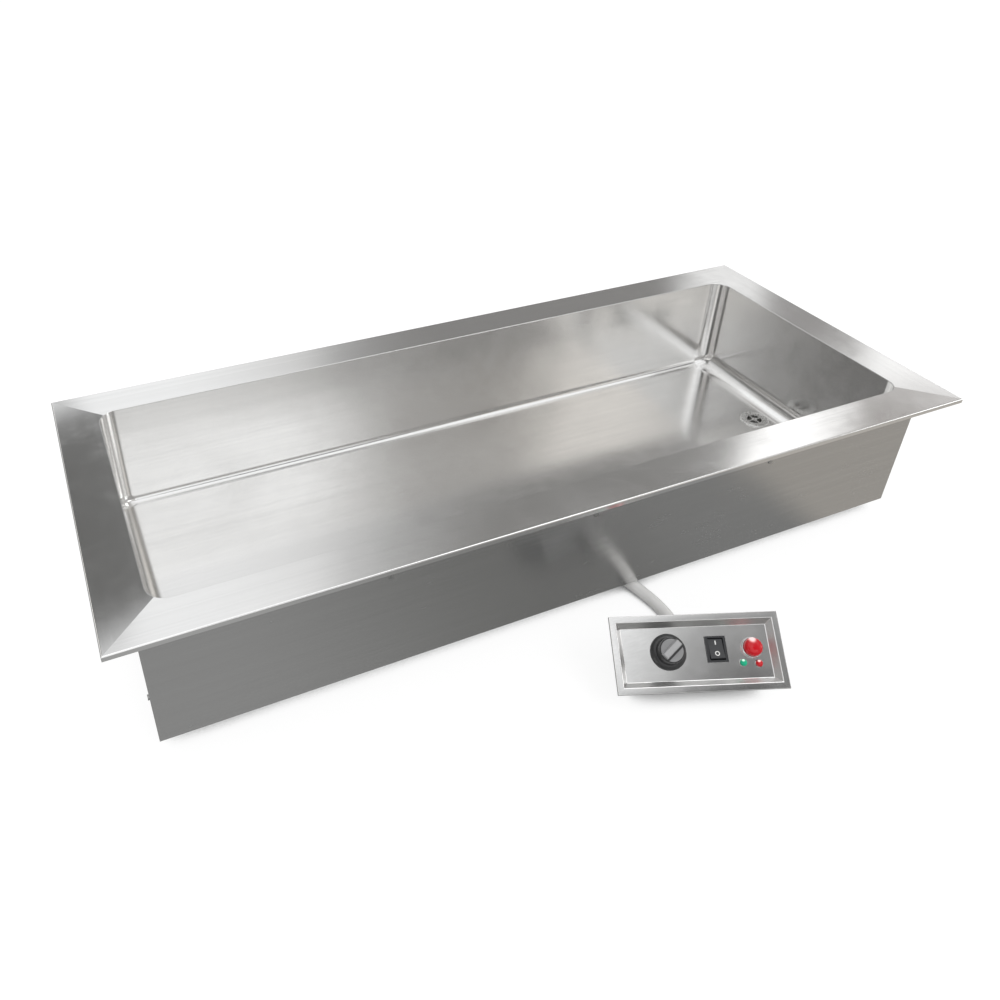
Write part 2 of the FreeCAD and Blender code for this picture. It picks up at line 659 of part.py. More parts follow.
def tube_along(points, radius, share=RUN_SHARE, report=None):
    """A round tube along straight runs joined by tangent arcs, each as large as its two runs allow."""
    route = [Vector(*p) for p in points]
    edges = []
    start = route[0]
    length = 0.0
    radii = []
    for before, corner, after in zip(route, route[1:], route[2:]):
        back = (before - corner).normalize()
        ahead = (after - corner).normalize()
        turn = math.pi - back.getAngle(ahead)
        setback = share * min((corner - before).Length, (after - corner).Length)
        bend = setback / math.tan(turn / 2)
        middle = (back + ahead).normalize()
        entry = corner + back * setback
        leave = corner + ahead * setback
        peak = corner + middle * (bend / math.cos(turn / 2) - bend)
        edges.append(Part.LineSegment(start, entry).toShape())
        edges.append(Part.Arc(entry, peak, leave).toShape())
        length += (entry - start).Length + bend * turn
        radii.append(round(bend, 1))
        start = leave
    edges.append(Part.LineSegment(start, route[-1]).toShape())
    length += (route[-1] - start).Length
    profile = Part.Wire(Part.makeCircle(radius, route[0], route[1] - route[0]))
    tube = Part.Wire(edges).makePipeShell([profile], True, False)
    if report:
        section = math.pi * radius ** 2
        share_kept = round(tube.Volume / length / section, 4)
        print(report, "length", round(length, 1), "bend radii", radii, "volume", share_kept)
    return tube


def heating_nodes():
    """Two hairpin elements clamped under the floor, with their bars, studs, nuts and terminal pins."""
    level = FLOOR_UNDER - ELEMENT_RADIUS - ELEMENT_GAP
    elements = []
    pins = []
    for side in (-1, 1):
        centre = side * ELEMENT_Y
        near = centre - ELEMENT_BEND
        far = centre + ELEMENT_BEND
        wire = Part.Wire([
            Part.LineSegment(Vector(ELEMENT_RIGHT, near, level), Vector(ELEMENT_LEFT, near, level)).toShape(),
            Part.Arc(
                Vector(ELEMENT_LEFT, near, level), Vector(ELEMENT_LEFT - ELEMENT_BEND, centre, level),
                Vector(ELEMENT_LEFT, far, level)
            ).toShape(),
            Part.LineSegment(Vector(ELEMENT_LEFT, far, level), Vector(ELEMENT_RIGHT, far, level)).toShape(),
        ])
        start = Vector(ELEMENT_RIGHT, near, level)
        profile = Part.Wire(Part.makeCircle(ELEMENT_RADIUS, start, Vector(1, 0, 0)))
        elements.append(wire.makePipeShell([profile], True, False))
        for y in (near, far):
            collar = rod_along(ELEMENT_RADIUS, (ELEMENT_RIGHT, y, level), (1, 0, 0), ELEMENT_PIN / 2)
            pin = rod_along(ELEMENT_RADIUS / 2, (ELEMENT_RIGHT, y, level), (1, 0, 0), ELEMENT_PIN)
            pins.append(collar.fuse(pin).removeSplitter())
    bars = []
    studs = []
    nuts = []
    reach = ELEMENT_Y + ELEMENT_BEND + BAR_END
    bar_under = BAR_TOP - BAR_SHEET
    for x in BAR_X:
        bar = block(x - BAR_WIDTH / 2, x + BAR_WIDTH / 2, -reach, reach, bar_under, BAR_TOP)
        for y in (-ELEMENT_Y, ELEMENT_Y):
            bar = bar.cut(rod(STUD_RADIUS + HOLE_CLEARANCE, x, y, bar_under - PAST, BAR_TOP + PAST))
            studs.append(rod(STUD_RADIUS, x, y, bar_under - STUD_NUT - STUD_SPARE, FLOOR_UNDER))
            nuts.append(nut(STUD_NUT_FLATS, STUD_RADIUS, x, y, bar_under - STUD_NUT, bar_under))
        bars.append(bar)
    return {
        "heating_elements": group(elements),
        "element_terminals": group(pins),
        "clamp_bars": group(bars),
        "clamp_studs": group(studs),
        "clamp_nuts": group(nuts),
    }


def sensor_nodes():
    """The thermostat's bulb with its clips, and the safety cut-out, all on the underside of the floor."""
    level = FLOOR_UNDER - BULB_RADIUS - ELEMENT_GAP
    bulb = rod_along(BULB_RADIUS, (BULB_X, 0, level), (1, 0, 0), BULB_LENGTH)
    clips = []
    inner = BULB_RADIUS + ELEMENT_GAP
    outer = inner + CLIP_SHEET
    for share in CLIP_SHARES:
        x = BULB_X + BULB_LENGTH * share - CLIP_WIDTH / 2
        strap = rod_along(outer, (x, 0, level), (1, 0, 0), CLIP_WIDTH)
        strap = strap.fuse(block(x, x + CLIP_WIDTH, -outer, outer, level, FLOOR_UNDER))
        strap = strap.fuse(
            block(
                x, x + CLIP_WIDTH, -outer - CLIP_FOOT, outer + CLIP_FOOT, FLOOR_UNDER - CLIP_SHEET, FLOOR_UNDER
            )
        )
        strap = strap.cut(rod_along(inner, (x - PAST, 0, level), (1, 0, 0), CLIP_WIDTH + 2 * PAST))
        clips.append(
            strap.cut(block(x - PAST, x + CLIP_WIDTH + PAST, -inner, inner, level, FLOOR_UNDER + PAST))
        )
    cutout = rod(CUTOUT_RADIUS, CUTOUT_X, 0, FLOOR_UNDER - CUTOUT_HEIGHT, FLOOR_UNDER)
    ear_top = FLOOR_UNDER
    ear_under = ear_top - CUTOUT_EAR_SHEET
    half_ear = CUTOUT_EAR_WIDTH / 2
    ear_end = CUTOUT_EAR + CUTOUT_EAR_END
    ear = block(
        CUTOUT_X - half_ear, CUTOUT_X + half_ear, -ear_end, ear_end, ear_under, ear_top
    )
    cutout = cutout.fuse(ear).removeSplitter()
    screws = []
    for y in (-CUTOUT_EAR, CUTOUT_EAR):
        cutout = cutout.cut(rod(SCREW_RADIUS + HOLE_CLEARANCE, CUTOUT_X, y, ear_under - PAST, ear_top + PAST))
        stud = rod(SCREW_RADIUS, CUTOUT_X, y, ear_under - SCREW_HEAD - THREAD_SPARE, ear_top)
        screws.append(stud.fuse(
            hexagon(SMALL_NUT_FLATS, CUTOUT_X, y, ear_under - SCREW_HEAD, ear_under)
        ).removeSplitter())
    return {
        "thermostat_bulb": bulb,
        "bulb_clips": group(clips),
        "safety_cutout": cutout,
        "cutout_nuts": group(screws),
    }


def drain_nodes():
    """The drain: a flanged tail through the floor, its strainer, gasket and locknut."""
    top = FLOOR_TOP + DRAIN_FLANGE
    body = rod(DRAIN_FLANGE_RADIUS, DRAIN_X, 0, FLOOR_TOP, top)
    body = body.fuse(rod(DRAIN_THREAD_RADIUS, DRAIN_X, 0, DRAIN_TAIL_GROUND, FLOOR_TOP)).removeSplitter()
    body = body.cut(rod(DRAIN_BORE_RADIUS, DRAIN_X, 0, 0, top + PAST))
    body = body.cut(rod(DRAIN_SEAT_RADIUS, DRAIN_X, 0, top - DRAIN_SEAT, top + PAST))
    groove = DRAIN_TAIL_GROUND + DRAIN_TAIL
    ring = rod(DRAIN_THREAD_RADIUS + PAST, DRAIN_X, 0, groove, groove + DRAIN_GROOVE)
    body = body.cut(
        ring.cut(rod(DRAIN_THREAD_RADIUS - DRAIN_GROOVE_DEPTH, DRAIN_X, 0, groove, groove + DRAIN_GROOVE))
    )
    rims = [e for e in body.Edges if e.BoundBox.ZMin > top - DRAIN_SEAT / 2]
    lip = [e for e in rims if e.BoundBox.XLength > DRAIN_SEAT_RADIUS + DRAIN_FLANGE_RADIUS]
    body = body.makeFillet(DRAIN_FLANGE * DRAIN_LIP_SHARE, lip)
    low = top - DRAIN_SEAT
    outer = DRAIN_SEAT_RADIUS - STRAINER_CLEARANCE
    inner = outer - STRAINER_RING
    strainer = rod(outer, DRAIN_X, 0, low, low + STRAINER)
    strainer = strainer.cut(rod(inner, DRAIN_X, 0, low - PAST, low + STRAINER + PAST))
    strainer = strainer.fuse(rod(STRAINER_HUB_RADIUS, DRAIN_X, 0, low, low + STRAINER))
    half = STRAINER_SPOKE / 2
    reach = inner + STRAINER_RING / 2
    for x, y in ((reach, half), (half, reach)):
        strainer = strainer.fuse(block(DRAIN_X - x, DRAIN_X + x, -y, y, low, low + STRAINER))
    gasket = rod(GASKET_RADIUS, DRAIN_X, 0, FLOOR_UNDER - GASKET, FLOOR_UNDER)
    gasket = gasket.cut(rod(DRAIN_THREAD_RADIUS + HOLE_CLEARANCE, DRAIN_X, 0, 0, FLOOR_TOP))
    locknut = nut(
        LOCKNUT_FLATS, DRAIN_THREAD_RADIUS + HOLE_CLEARANCE, DRAIN_X, 0,
        FLOOR_UNDER - GASKET - LOCKNUT, FLOOR_UNDER - GASKET
    )
    return {
        "drain_body": body,
        "drain_strainer": strainer.removeSplitter(),
        "drain_gasket": gasket,
        "drain_locknut": locknut,
    }


def terminal_screw_places():
    """Where the terminal box's tabs are screwed to the bottom cover: (x, y)."""
    x = TERMINAL_LENGTH / 2 + TERMINAL_TAB / 2
    y = TERMINAL_TAB_WIDTH / 2 - TAB_SCREW_INSET
    return [(TERMINAL_X + sx * x, TERMINAL_Y + sy * y) for sx in (-1, 1) for sy in (-1, 1)]


def hex_along(flats, start, length, side=1):
    """A hexagonal prism along Y, from a point towards +Y or -Y."""
    solid = hexagon(flats, 0, 0, 0, length)
    solid.Placement = Placement(Vector(*start), Rotation(Vector(1, 0, 0), -90 * side))
    return solid


def terminal_nodes():
    """The terminal box under the bottom cover, with its block, earth stud, gland and conduit connector."""
    x0 = TERMINAL_X - TERMINAL_LENGTH / 2
    x1 = TERMINAL_X + TERMINAL_LENGTH / 2
    y0 = TERMINAL_Y - TERMINAL_WIDTH / 2
    y1 = TERMINAL_Y + TERMINAL_WIDTH / 2
    sheet = TERMINAL_SHEET
    shell = block(x0, x1, y0, y1, TERMINAL_GROUND, COVER_UNDER)
    half_tab = TERMINAL_TAB_WIDTH / 2
    shell = shell.fuse(
        block(
            x0 - TERMINAL_TAB, x1 + TERMINAL_TAB, TERMINAL_Y - half_tab, TERMINAL_Y + half_tab,
            COVER_UNDER - sheet, COVER_UNDER
        )
    ).removeSplitter()
    shell = shell.cut(
        block(x0 + sheet, x1 - sheet, y0 + sheet, y1 - sheet, TERMINAL_GROUND + sheet, COVER_UNDER + PAST)
    )
    screws = []
    for x, y in terminal_screw_places():
        shell = shell.cut(
            rod(SCREW_RADIUS + HOLE_CLEARANCE, x, y, COVER_UNDER - sheet - PAST, COVER_UNDER + PAST)
        )
        screw = rod(SCREW_RADIUS, x, y, COVER_UNDER - sheet, COVER_TOP + THREAD_SPARE)
        head = rod(SCREW_HEAD_RADIUS, x, y, COVER_UNDER - sheet - SCREW_HEAD, COVER_UNDER - sheet)
        screws.append(screw.fuse(head).removeSplitter())
    thread = CONNECTOR_THREAD_RADIUS
    through = sheet + 2 * PAST
    shell = shell.cut(
        rod_along(thread + THREAD_CLEARANCE, (CONNECTOR_X, y0 - PAST, CONNECTOR_HEIGHT), (0, 1, 0), through)
    )
    shell = shell.cut(
        rod_along(thread + THREAD_CLEARANCE, (GLAND_X, y1 - sheet - PAST, GLAND_HEIGHT), (0, 1, 0), through)
    )
    floor = TERMINAL_GROUND + sheet
    block_y = TERMINAL_Y + BLOCK_SHIFT
    strip = block(
        TERMINAL_X - BLOCK_LENGTH / 2, TERMINAL_X + BLOCK_LENGTH / 2, block_y - BLOCK_WIDTH / 2,
        block_y + BLOCK_WIDTH / 2, floor, floor + BLOCK_HEIGHT
    )
    for step in range(-2, 3):
        for side in (-1, 1):
            strip = strip.cut(
                rod(
                    BLOCK_HOLE_RADIUS, TERMINAL_X + step * BLOCK_PITCH, block_y + side * BLOCK_HOLE_ROW,
                    floor + BLOCK_HEIGHT - BLOCK_HOLE, floor + BLOCK_HEIGHT + PAST
                )
            )
    earth_x = x0 + EARTH_FROM_END
    earth_y = TERMINAL_Y + EARTH_SHIFT
    earth = hexagon(EARTH_NUT_FLATS, earth_x, earth_y, floor, floor + EARTH_NUT)
    earth = earth.fuse(rod(EARTH_RADIUS, earth_x, earth_y, floor, floor + EARTH_HEIGHT)).removeSplitter()
    nodes = {
        "terminal_box": shell,
        "terminal_box_screws": group(screws),
        "terminal_block": strip,
        "earth_stud": earth,
    }
    bore = CONDUIT_BORE_RADIUS
    start = (CONNECTOR_X, y0, CONNECTOR_HEIGHT)
    connector = hex_along(CONNECTOR_HEX, start, CONNECTOR_SHOULDER, -1)
    connector = connector.fuse(
        rod_along(
            CONNECTOR_FERRULE_RADIUS, (start[0], y0 - CONNECTOR_SHOULDER, start[2]), (0, -1, 0), WELL_FERRULE
        )
    )
    connector = connector.fuse(rod_along(thread, start, (0, 1, 0), CONNECTOR_THREAD)).removeSplitter()
    tip = y0 - CONNECTOR_SHOULDER - WELL_FERRULE - PAST
    nodes["well_connector"] = connector.cut(
        rod_along(bore, (start[0], tip, start[2]), (0, 1, 0), y0 + CONNECTOR_THREAD + PAST - tip)
    )
    nut_start = (start[0], y0 + sheet, start[2])
    locknut = hex_along(CONNECTOR_HEX, nut_start, CONNECTOR_NUT)
    nodes["well_connector_nut"] = locknut.cut(
        rod_along(thread + HOLE_CLEARANCE, (start[0], y0, start[2]), (0, 1, 0), CONNECTOR_THREAD + PAST)
    )
    start = (GLAND_X, y1, GLAND_HEIGHT)
    gland = hex_along(CONNECTOR_HEX, start, CONNECTOR_SHOULDER)
    gland = gland.fuse(
        rod_along(GLAND_BODY_RADIUS, (start[0], y1 + CONNECTOR_SHOULDER, start[2]), (0, 1, 0),
                  GLAND_LENGTH - CONNECTOR_SHOULDER)
    )
    gland = gland.fuse(rod_along(thread, start, (0, -1, 0), CONNECTOR_THREAD)).removeSplitter()
    nodes["mains_gland"] = gland.cut(
        rod_along(
            GLAND_BORE_RADIUS, (start[0], y1 - CONNECTOR_THREAD - PAST, start[2]), (0, 1, 0),
            CONNECTOR_THREAD + GLAND_LENGTH + 2 * PAST
        )
    )
    locknut = hex_along(CONNECTOR_HEX, (start[0], y1 - sheet, start[2]), CONNECTOR_NUT, -1)
    nodes["mains_gland_nut"] = locknut.cut(
        rod_along(
            thread + HOLE_CLEARANCE, (start[0], y1 - CONNECTOR_THREAD - PAST, start[2]), (0, 1, 0),
            CONNECTOR_THREAD + PAST
        )
    )
    return nodes


def panel_node():
    """The control panel: a flat flange with its edge turned back, and a sunk face holed for the controls."""
    half_u = PANEL_WIDTH / 2
    half_v = PANEL_HEIGHT / 2
    mouth_u = half_u - PANEL_FLANGE
    mouth_v = half_v - PANEL_FLANGE
    face_u = mouth_u - PANEL_SLOPE
    face_v = mouth_v - PANEL_SLOPE
    sheet = PANEL_SHEET
    panel = block(-half_u, half_u, -half_v, half_v, -PANEL_LIP, 0)
    panel = panel.cut(
        block(sheet - half_u, half_u - sheet, sheet - half_v, half_v - sheet, -PANEL_LIP - PAST, -sheet)
    )
    panel = panel.fuse(
        frustum(mouth_u + sheet, mouth_v + sheet, 0, face_u + sheet, face_v + sheet, PANEL_FLOOR - sheet)
    )
    panel = panel.cut(frustum(mouth_u, mouth_v, 0, face_u, face_v, PANEL_FLOOR))
    through = (PANEL_FLOOR - sheet - PAST, PANEL_FLOOR + PAST)
    panel = panel.cut(rod(SHAFT_RADIUS + SHAFT_HOLE_CLEARANCE, KNOB_U, CONTROLS_V, *through))
    for side in (-1, 1):
        u = KNOB_U + side * THERMOSTAT_SCREW_U
        panel = panel.cut(rod(SCREW_RADIUS + HOLE_CLEARANCE, u, CONTROLS_V, *through))
        panel = panel.cut(
            cone(SCREW_RADIUS + HOLE_CLEARANCE, SCREW_HEAD_RADIUS + HOLE_CLEARANCE, u, CONTROLS_V,
                 PANEL_FLOOR - sheet, PANEL_FLOOR)
        )
    half_w = ROCKER_BODY_WIDTH / 2 + HOLE_CLEARANCE
    half_h = ROCKER_BODY_HEIGHT / 2 + HOLE_CLEARANCE
    panel = panel.cut(
        block(ROCKER_U - half_w, ROCKER_U + half_w, ROCKER_V - half_h, ROCKER_V + half_h, *through)
    )
    panel = panel.cut(rod(PILOT_NECK_RADIUS + HOLE_CLEARANCE, PILOT_U, PILOT_V, *through))
    for u, v in zip(LED_U, LED_V):
        panel = panel.cut(rod(LED_NECK_RADIUS + HOLE_CLEARANCE, u, v, *through))
    return panel


def shell_nodes():
    """The control box's shell, its back cover and the cover's screws."""
    half_u = SHELL_HALF_U
    half_v = SHELL_HALF_V
    sheet = SHELL_SHEET
    back = -BOX_DEPTH
    shell = block(-half_u, half_u, -half_v, half_v, back + BACK_SHEET, PANEL_REAR)
    shell = shell.cut(
        block(sheet - half_u, half_u - sheet, sheet - half_v, half_v - sheet, back + BACK_SHEET + sheet, 0)
    )
    fold = sheet + BACK_FOLD
    shell = shell.cut(block(fold - half_u, half_u - fold, fold - half_v, half_v - fold, back, 0))
    cover = block(-half_u, half_u, -half_v, half_v, back, back + BACK_SHEET)
    thread = CONNECTOR_THREAD_RADIUS + THREAD_CLEARANCE
    cover = cover.cut(rod(thread, ELBOW_U, ELBOW_V, back - PAST, back + BACK_SHEET + PAST))
    screws = []
    for su in (-1, 1):
        for sv in (-1, 1):
            u = su * (half_u - BACK_SCREW_INSET)
            v = sv * (half_v - BACK_SCREW_INSET)
            hole = rod(SCREW_RADIUS + HOLE_CLEARANCE, u, v, back - PAST, back + BACK_SHEET + sheet + PAST)
            shell = shell.cut(hole)
            cover = cover.cut(hole)
            screw = rod(SCREW_RADIUS, u, v, back, back + BACK_SCREW)
            head = rod(SCREW_HEAD_RADIUS, u, v, back - BACK_SCREW_HEAD, back)
            screws.append(screw.fuse(head).removeSplitter())
    return {"control_box": shell, "box_back_cover": cover, "back_cover_screws": group(screws)}


def elbow_nodes():
    """The angled connector in the back of the control box, and its locknut inside."""
    back = -BOX_DEPTH
    u = ELBOW_U
    v = ELBOW_V
    shoulder_end = back - CONNECTOR_SHOULDER
    bend = 90.0 - BOX_TILT
    turn = math.radians(bend)
    pivot = Vector(u, v + ELBOW_RADIUS, shoulder_end)
    straight = (0, math.sin(turn), -math.cos(turn))
    leave = (u, v + ELBOW_RADIUS * (1 - math.cos(turn)), shoulder_end - ELBOW_RADIUS * math.sin(turn))

    def swept(radius):
        disc = Part.Face(Part.Wire(Part.makeCircle(radius, Vector(u, v, shoulder_end), Vector(0, 0, 1))))
        return disc.revolve(pivot, Vector(1, 0, 0), bend)

    outside = hexagon(CONNECTOR_HEX, u, v, shoulder_end, back)
    outside = outside.fuse(rod(CONNECTOR_THREAD_RADIUS, u, v, back, back + CONNECTOR_THREAD))
    outside = outside.fuse(swept(ELBOW_TUBE_RADIUS))
    outside = outside.fuse(rod_along(CONNECTOR_FERRULE_RADIUS, leave, straight, BOX_FERRULE))
    bore = rod(CONDUIT_BORE_RADIUS, u, v, shoulder_end, back + CONNECTOR_THREAD + PAST)
    bore = bore.fuse(swept(CONDUIT_BORE_RADIUS))
    bore = bore.fuse(rod_along(CONDUIT_BORE_RADIUS, leave, straight, BOX_FERRULE + PAST))
    locknut = nut(
        CONNECTOR_HEX, CONNECTOR_THREAD_RADIUS + HOLE_CLEARANCE, u, v,
        back + BACK_SHEET, back + BACK_SHEET + CONNECTOR_NUT
    )
    end = Vector(*leave) + Vector(*straight) * BOX_FERRULE
    return {"box_connector": outside.cut(bore), "box_connector_nut": locknut}, end


def thermostat_nodes():
    """The thermostat behind the panel, its two screws, its shaft and its knob."""
    u = KNOB_U
    v = CONTROLS_V
    rear = PANEL_REAR
    half = THERMOSTAT_SIDE / 2
    body = block(u - half, u + half, v - half, v + half, rear - THERMOSTAT_DEPTH, rear)
    upright = [e for e in body.Edges if e.BoundBox.ZLength > THERMOSTAT_DEPTH / 2]
    body = body.makeFillet(THERMOSTAT_CORNER, upright)
    bottom = rear - SHAFT_IN_BODY - THERMOSTAT_BOTTOM_GAP
    body = body.cut(rod(SHAFT_RADIUS + SHAFT_CLEARANCE, u, v, bottom, rear + PAST))
    screws = []
    for side in (-1, 1):
        x = u + side * THERMOSTAT_SCREW_U
        body = body.cut(rod(SCREW_RADIUS + HOLE_CLEARANCE, x, v, rear - THERMOSTAT_SCREW - PAST, rear + PAST))
        head = cone(SCREW_RADIUS, SCREW_HEAD_RADIUS, x, v, rear, PANEL_FLOOR)
        screws.append(head.fuse(rod(SCREW_RADIUS, x, v, rear - THERMOSTAT_SCREW, rear)).removeSplitter())
    low = PANEL_FLOOR + KNOB_GAP
    shaft = rod(SHAFT_RADIUS, u, v, rear - SHAFT_IN_BODY, low + SHAFT_IN_KNOB)
    skirt = cone(KNOB_RADIUS, KNOB_SKIRT_TOP_RADIUS, u, v, low, low + KNOB_SKIRT)
    cap = cone(KNOB_CAP_RADIUS, KNOB_FACE_RADIUS, u, v, low + KNOB_SKIRT, low + KNOB_HEIGHT)
    reach = KNOB_FACE_RADIUS - KNOB_GRIP_INSET
    grip = block(-reach, reach, -KNOB_GRIP_WIDTH / 2, KNOB_GRIP_WIDTH / 2, 0, KNOB_GRIP)
    top = [e for e in grip.Edges if e.BoundBox.ZMin > KNOB_GRIP / 2 and e.BoundBox.XLength > reach]
    grip = grip.makeFillet(KNOB_GRIP_ROUND, top)
    grip.Placement = Placement(Vector(u, v, low + KNOB_HEIGHT), Rotation(Vector(0, 0, 1), KNOB_GRIP_TURN))
    knob = skirt.fuse(cap).fuse(grip).removeSplitter()
    knob = knob.cut(rod(SHAFT_RADIUS, u, v, low - PAST, low + SHAFT_IN_KNOB))
    return {
        "thermostat_body": body,
        "thermostat_screws": group(screws),
        "thermostat_shaft": shaft,
        "knob": knob,
    }


def rocker_nodes():
    """The rocker switch: a framed body that clips into the panel, and the button that rocks on two pins."""
    u = ROCKER_U
    v = ROCKER_V
    top = PANEL_FLOOR + ROCKER_BEZEL
    pivot = top - ROCKER_PIVOT
    frame = block(
        u - ROCKER_BEZEL_WIDTH / 2, u + ROCKER_BEZEL_WIDTH / 2, v - ROCKER_BEZEL_HEIGHT / 2,
        v + ROCKER_BEZEL_HEIGHT / 2, PANEL_FLOOR, top
    )
    frame = frame.fuse(
        block(
            u - ROCKER_BODY_WIDTH / 2, u + ROCKER_BODY_WIDTH / 2, v - ROCKER_BODY_HEIGHT / 2,
            v + ROCKER_BODY_HEIGHT / 2, PANEL_FLOOR - ROCKER_BODY_DEPTH, PANEL_FLOOR
        )
    ).removeSplitter()
    half_w = ROCKER_BUTTON_WIDTH / 2 + ROCKER_CLEARANCE
    half_h = ROCKER_SWEEP_RADIUS + ROCKER_CLEARANCE
    deep = ROCKER_BUTTON_DEPTH
    frame = frame.cut(
        block(u - half_w, u + half_w, v - half_h, v + half_h, pivot - deep - ROCKER_ROOM, top + PAST)
    )
    pin_reach = ROCKER_BUTTON_WIDTH / 2 + ROCKER_PIN
    frame = frame.cut(
        rod_along(
            ROCKER_PIN_RADIUS + ROCKER_PIN_CLEARANCE, (u - pin_reach - HOLE_CLEARANCE, v, pivot), (1, 0, 0),
            2 * (pin_reach + HOLE_CLEARANCE)
        )
    )
    radius = ROCKER_SWEEP_RADIUS
    end_high = math.radians(ROCKER_END_HIGH)
    end_low = math.radians(ROCKER_END_LOW)
    foot = ROCKER_SWEEP_RADIUS * ROCKER_FOOT_SHARE
    angles = (end_high, (end_high + end_low) / 2, end_low)
    ends = [(radius * math.cos(a), radius * math.sin(a)) for a in angles]
    crown = ROCKER_PIVOT - ROCKER_DIP

    def at(y, z):
        return Vector(0, y, z)

    (hy, hz), (my, mz), (ly, lz) = ends
    edges = [
        Part.LineSegment(at(-hy, hz), at(0, crown)).toShape(),
        Part.LineSegment(at(0, crown), at(hy, hz)).toShape(),
        Part.Arc(at(hy, hz), at(my, mz), at(ly, lz)).toShape(),
        Part.LineSegment(at(ly, lz), at(foot, -deep)).toShape(),
        Part.LineSegment(at(foot, -deep), at(-foot, -deep)).toShape(),
        Part.LineSegment(at(-foot, -deep), at(-ly, lz)).toShape(),
        Part.Arc(at(-ly, lz), at(-my, mz), at(-hy, hz)).toShape(),
    ]
    button = Part.Face(Part.Wire(edges)).extrude(Vector(ROCKER_BUTTON_WIDTH, 0, 0))
    button.translate(Vector(-ROCKER_BUTTON_WIDTH / 2, 0, 0))
    pins = rod_along(ROCKER_PIN_RADIUS, (-pin_reach, 0, 0), (1, 0, 0), 2 * pin_reach)
    button = button.fuse(pins).removeSplitter()
    button.Placement = Placement(Vector(u, v, pivot), Rotation(Vector(1, 0, 0), -ROCKER_ANGLE))
    return {"rocker_frame": frame, "rocker_button": button}


def dome(radius, height, u, v, n):
    """A round lens: a low cylinder under a cap of a sphere."""
    wall = height * LENS_WALL_SHARE
    rise = height - wall
    ball = (radius ** 2 + rise ** 2) / (2 * rise)
    lens = rod(radius, u, v, n, n + wall)
    cap = Part.makeSphere(ball, Vector(u, v, n + height - ball))
    return lens.fuse(cap.common(rod(radius, u, v, n + wall, n + height + PAST))).removeSplitter()


def lamp_nodes():
    """The pilot lamp and the two small indicator lamps."""
    floor = PANEL_FLOOR
    rear = PANEL_REAR
    body = rod(PILOT_BEZEL_RADIUS, PILOT_U, PILOT_V, floor, floor + PILOT_BEZEL)
    body = body.fuse(rod(PILOT_NECK_RADIUS, PILOT_U, PILOT_V, floor - PILOT_NECK, floor)).removeSplitter()
    lens = dome(PILOT_LENS_RADIUS, PILOT_LENS, PILOT_U, PILOT_V, floor + PILOT_BEZEL)
    locknut = nut(
        PILOT_NUT_FLATS, PILOT_NECK_RADIUS + HOLE_CLEARANCE, PILOT_U, PILOT_V, rear - PILOT_NUT, rear
    )
    bodies = []
    lenses = []
    for u, v in zip(LED_U, LED_V):
        bezel = rod(LED_BEZEL_RADIUS, u, v, floor, floor + LED_BEZEL)
        bodies.append(bezel.fuse(rod(LED_NECK_RADIUS, u, v, floor - LED_NECK, floor)).removeSplitter())
        lenses.append(dome(LED_LENS_RADIUS, LED_LENS_RADIUS, u, v, floor + LED_BEZEL))
    return {
        "pilot_body": body,
        "pilot_nut": locknut,
        "pilot_lens": lens,
        "indicator_bodies": group(bodies),
        "green_lens": lenses[0],
        "red_lens": lenses[1],
    }


def placed(shape, placement):
    """A copy of a shape, moved."""
    moved = shape.copy()
    moved.Placement = placement.multiply(moved.Placement)
    return moved


def main():
    os.makedirs("parts", exist_ok=True)
    nodes = {}
    for part in (
        well_nodes, rim_nodes, casing_nodes, cover_nodes, foot_nodes, wool_nodes, heating_nodes, sensor_nodes,
        drain_nodes, terminal_nodes
    ):
        nodes.update(part())
    turn = Rotation(Vector(0, 0, 1), -math.degrees(YAW)).multiply(Rotation(Vector(1, 0, 0), BOX_TILT))
    stand = Placement(Vector(BOX_X, BOX_Y, BOX_Z), turn)
    controls = {"control_panel": panel_node()}
    controls.update(shell_nodes())
    connector, outlet = elbow_nodes()
    controls.update(connector)
    controls.update(thermostat_nodes())
    controls.update(rocker_nodes())
    controls.update(lamp_nodes())
    nodes.update({name: placed(shape, stand) for name, shape in controls.items()})
    nodes["conduit"] = tube_along(CONDUIT_ROUTE, CONDUIT_RADIUS, report="conduit")
    shift = Placement(Vector(0, WELL_Y, 0), Rotation())
    whole = []
    for name, shape in nodes.items():
        solid = placed(shape, shift)
        whole.append(solid)
        solid.exportStep("parts/%s.step" % name)
        state = "" if solid.isValid() else "NOT VALID"
        print(name, len(solid.Solids), "solids", round(solid.Volume), "mm3", state)
    size = Part.makeCompound([s for s, n in zip(whole, nodes) if n != "conduit"]).BoundBox
    print("box", [round(v, 2) for v in (size.XMin, size.XMax, size.YMin, size.YMax, size.ZMin, size.ZMax)])
    print("well centre y", round(WELL_Y, 3), "box centre z", round(BOX_Z, 3))
    print("connector", round(ELBOW_U, 2), round(ELBOW_V, 2))
    print("ferrules", round(BOX_FERRULE, 2), round(WELL_FERRULE, 2))
    print("box connector end, from the middle of the well", [round(c, 2) for c in stand.multVec(outlet)])
    for name, local in (
        ("knob axis point", (KNOB_U, CONTROLS_V, PANEL_FLOOR)),
        ("rocker axis point", (ROCKER_U, ROCKER_V, PANEL_FLOOR + ROCKER_BEZEL - ROCKER_PIVOT)),
    ):
        print(name, [round(c, 4) for c in shift.multVec(stand.multVec(Vector(*local)))])
    for name, local in (("out of the panel", (0, 0, 1)), ("along the panel", (1, 0, 0))):
        print(name, [round(c, 6) for c in turn.multVec(Vector(*local))])


main()
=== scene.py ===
"""Looks of the drop-in hot food table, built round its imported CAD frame.  Metres, +Z up."""

import json
import math

import bmesh
import bpy
from mathutils import Matrix, Vector


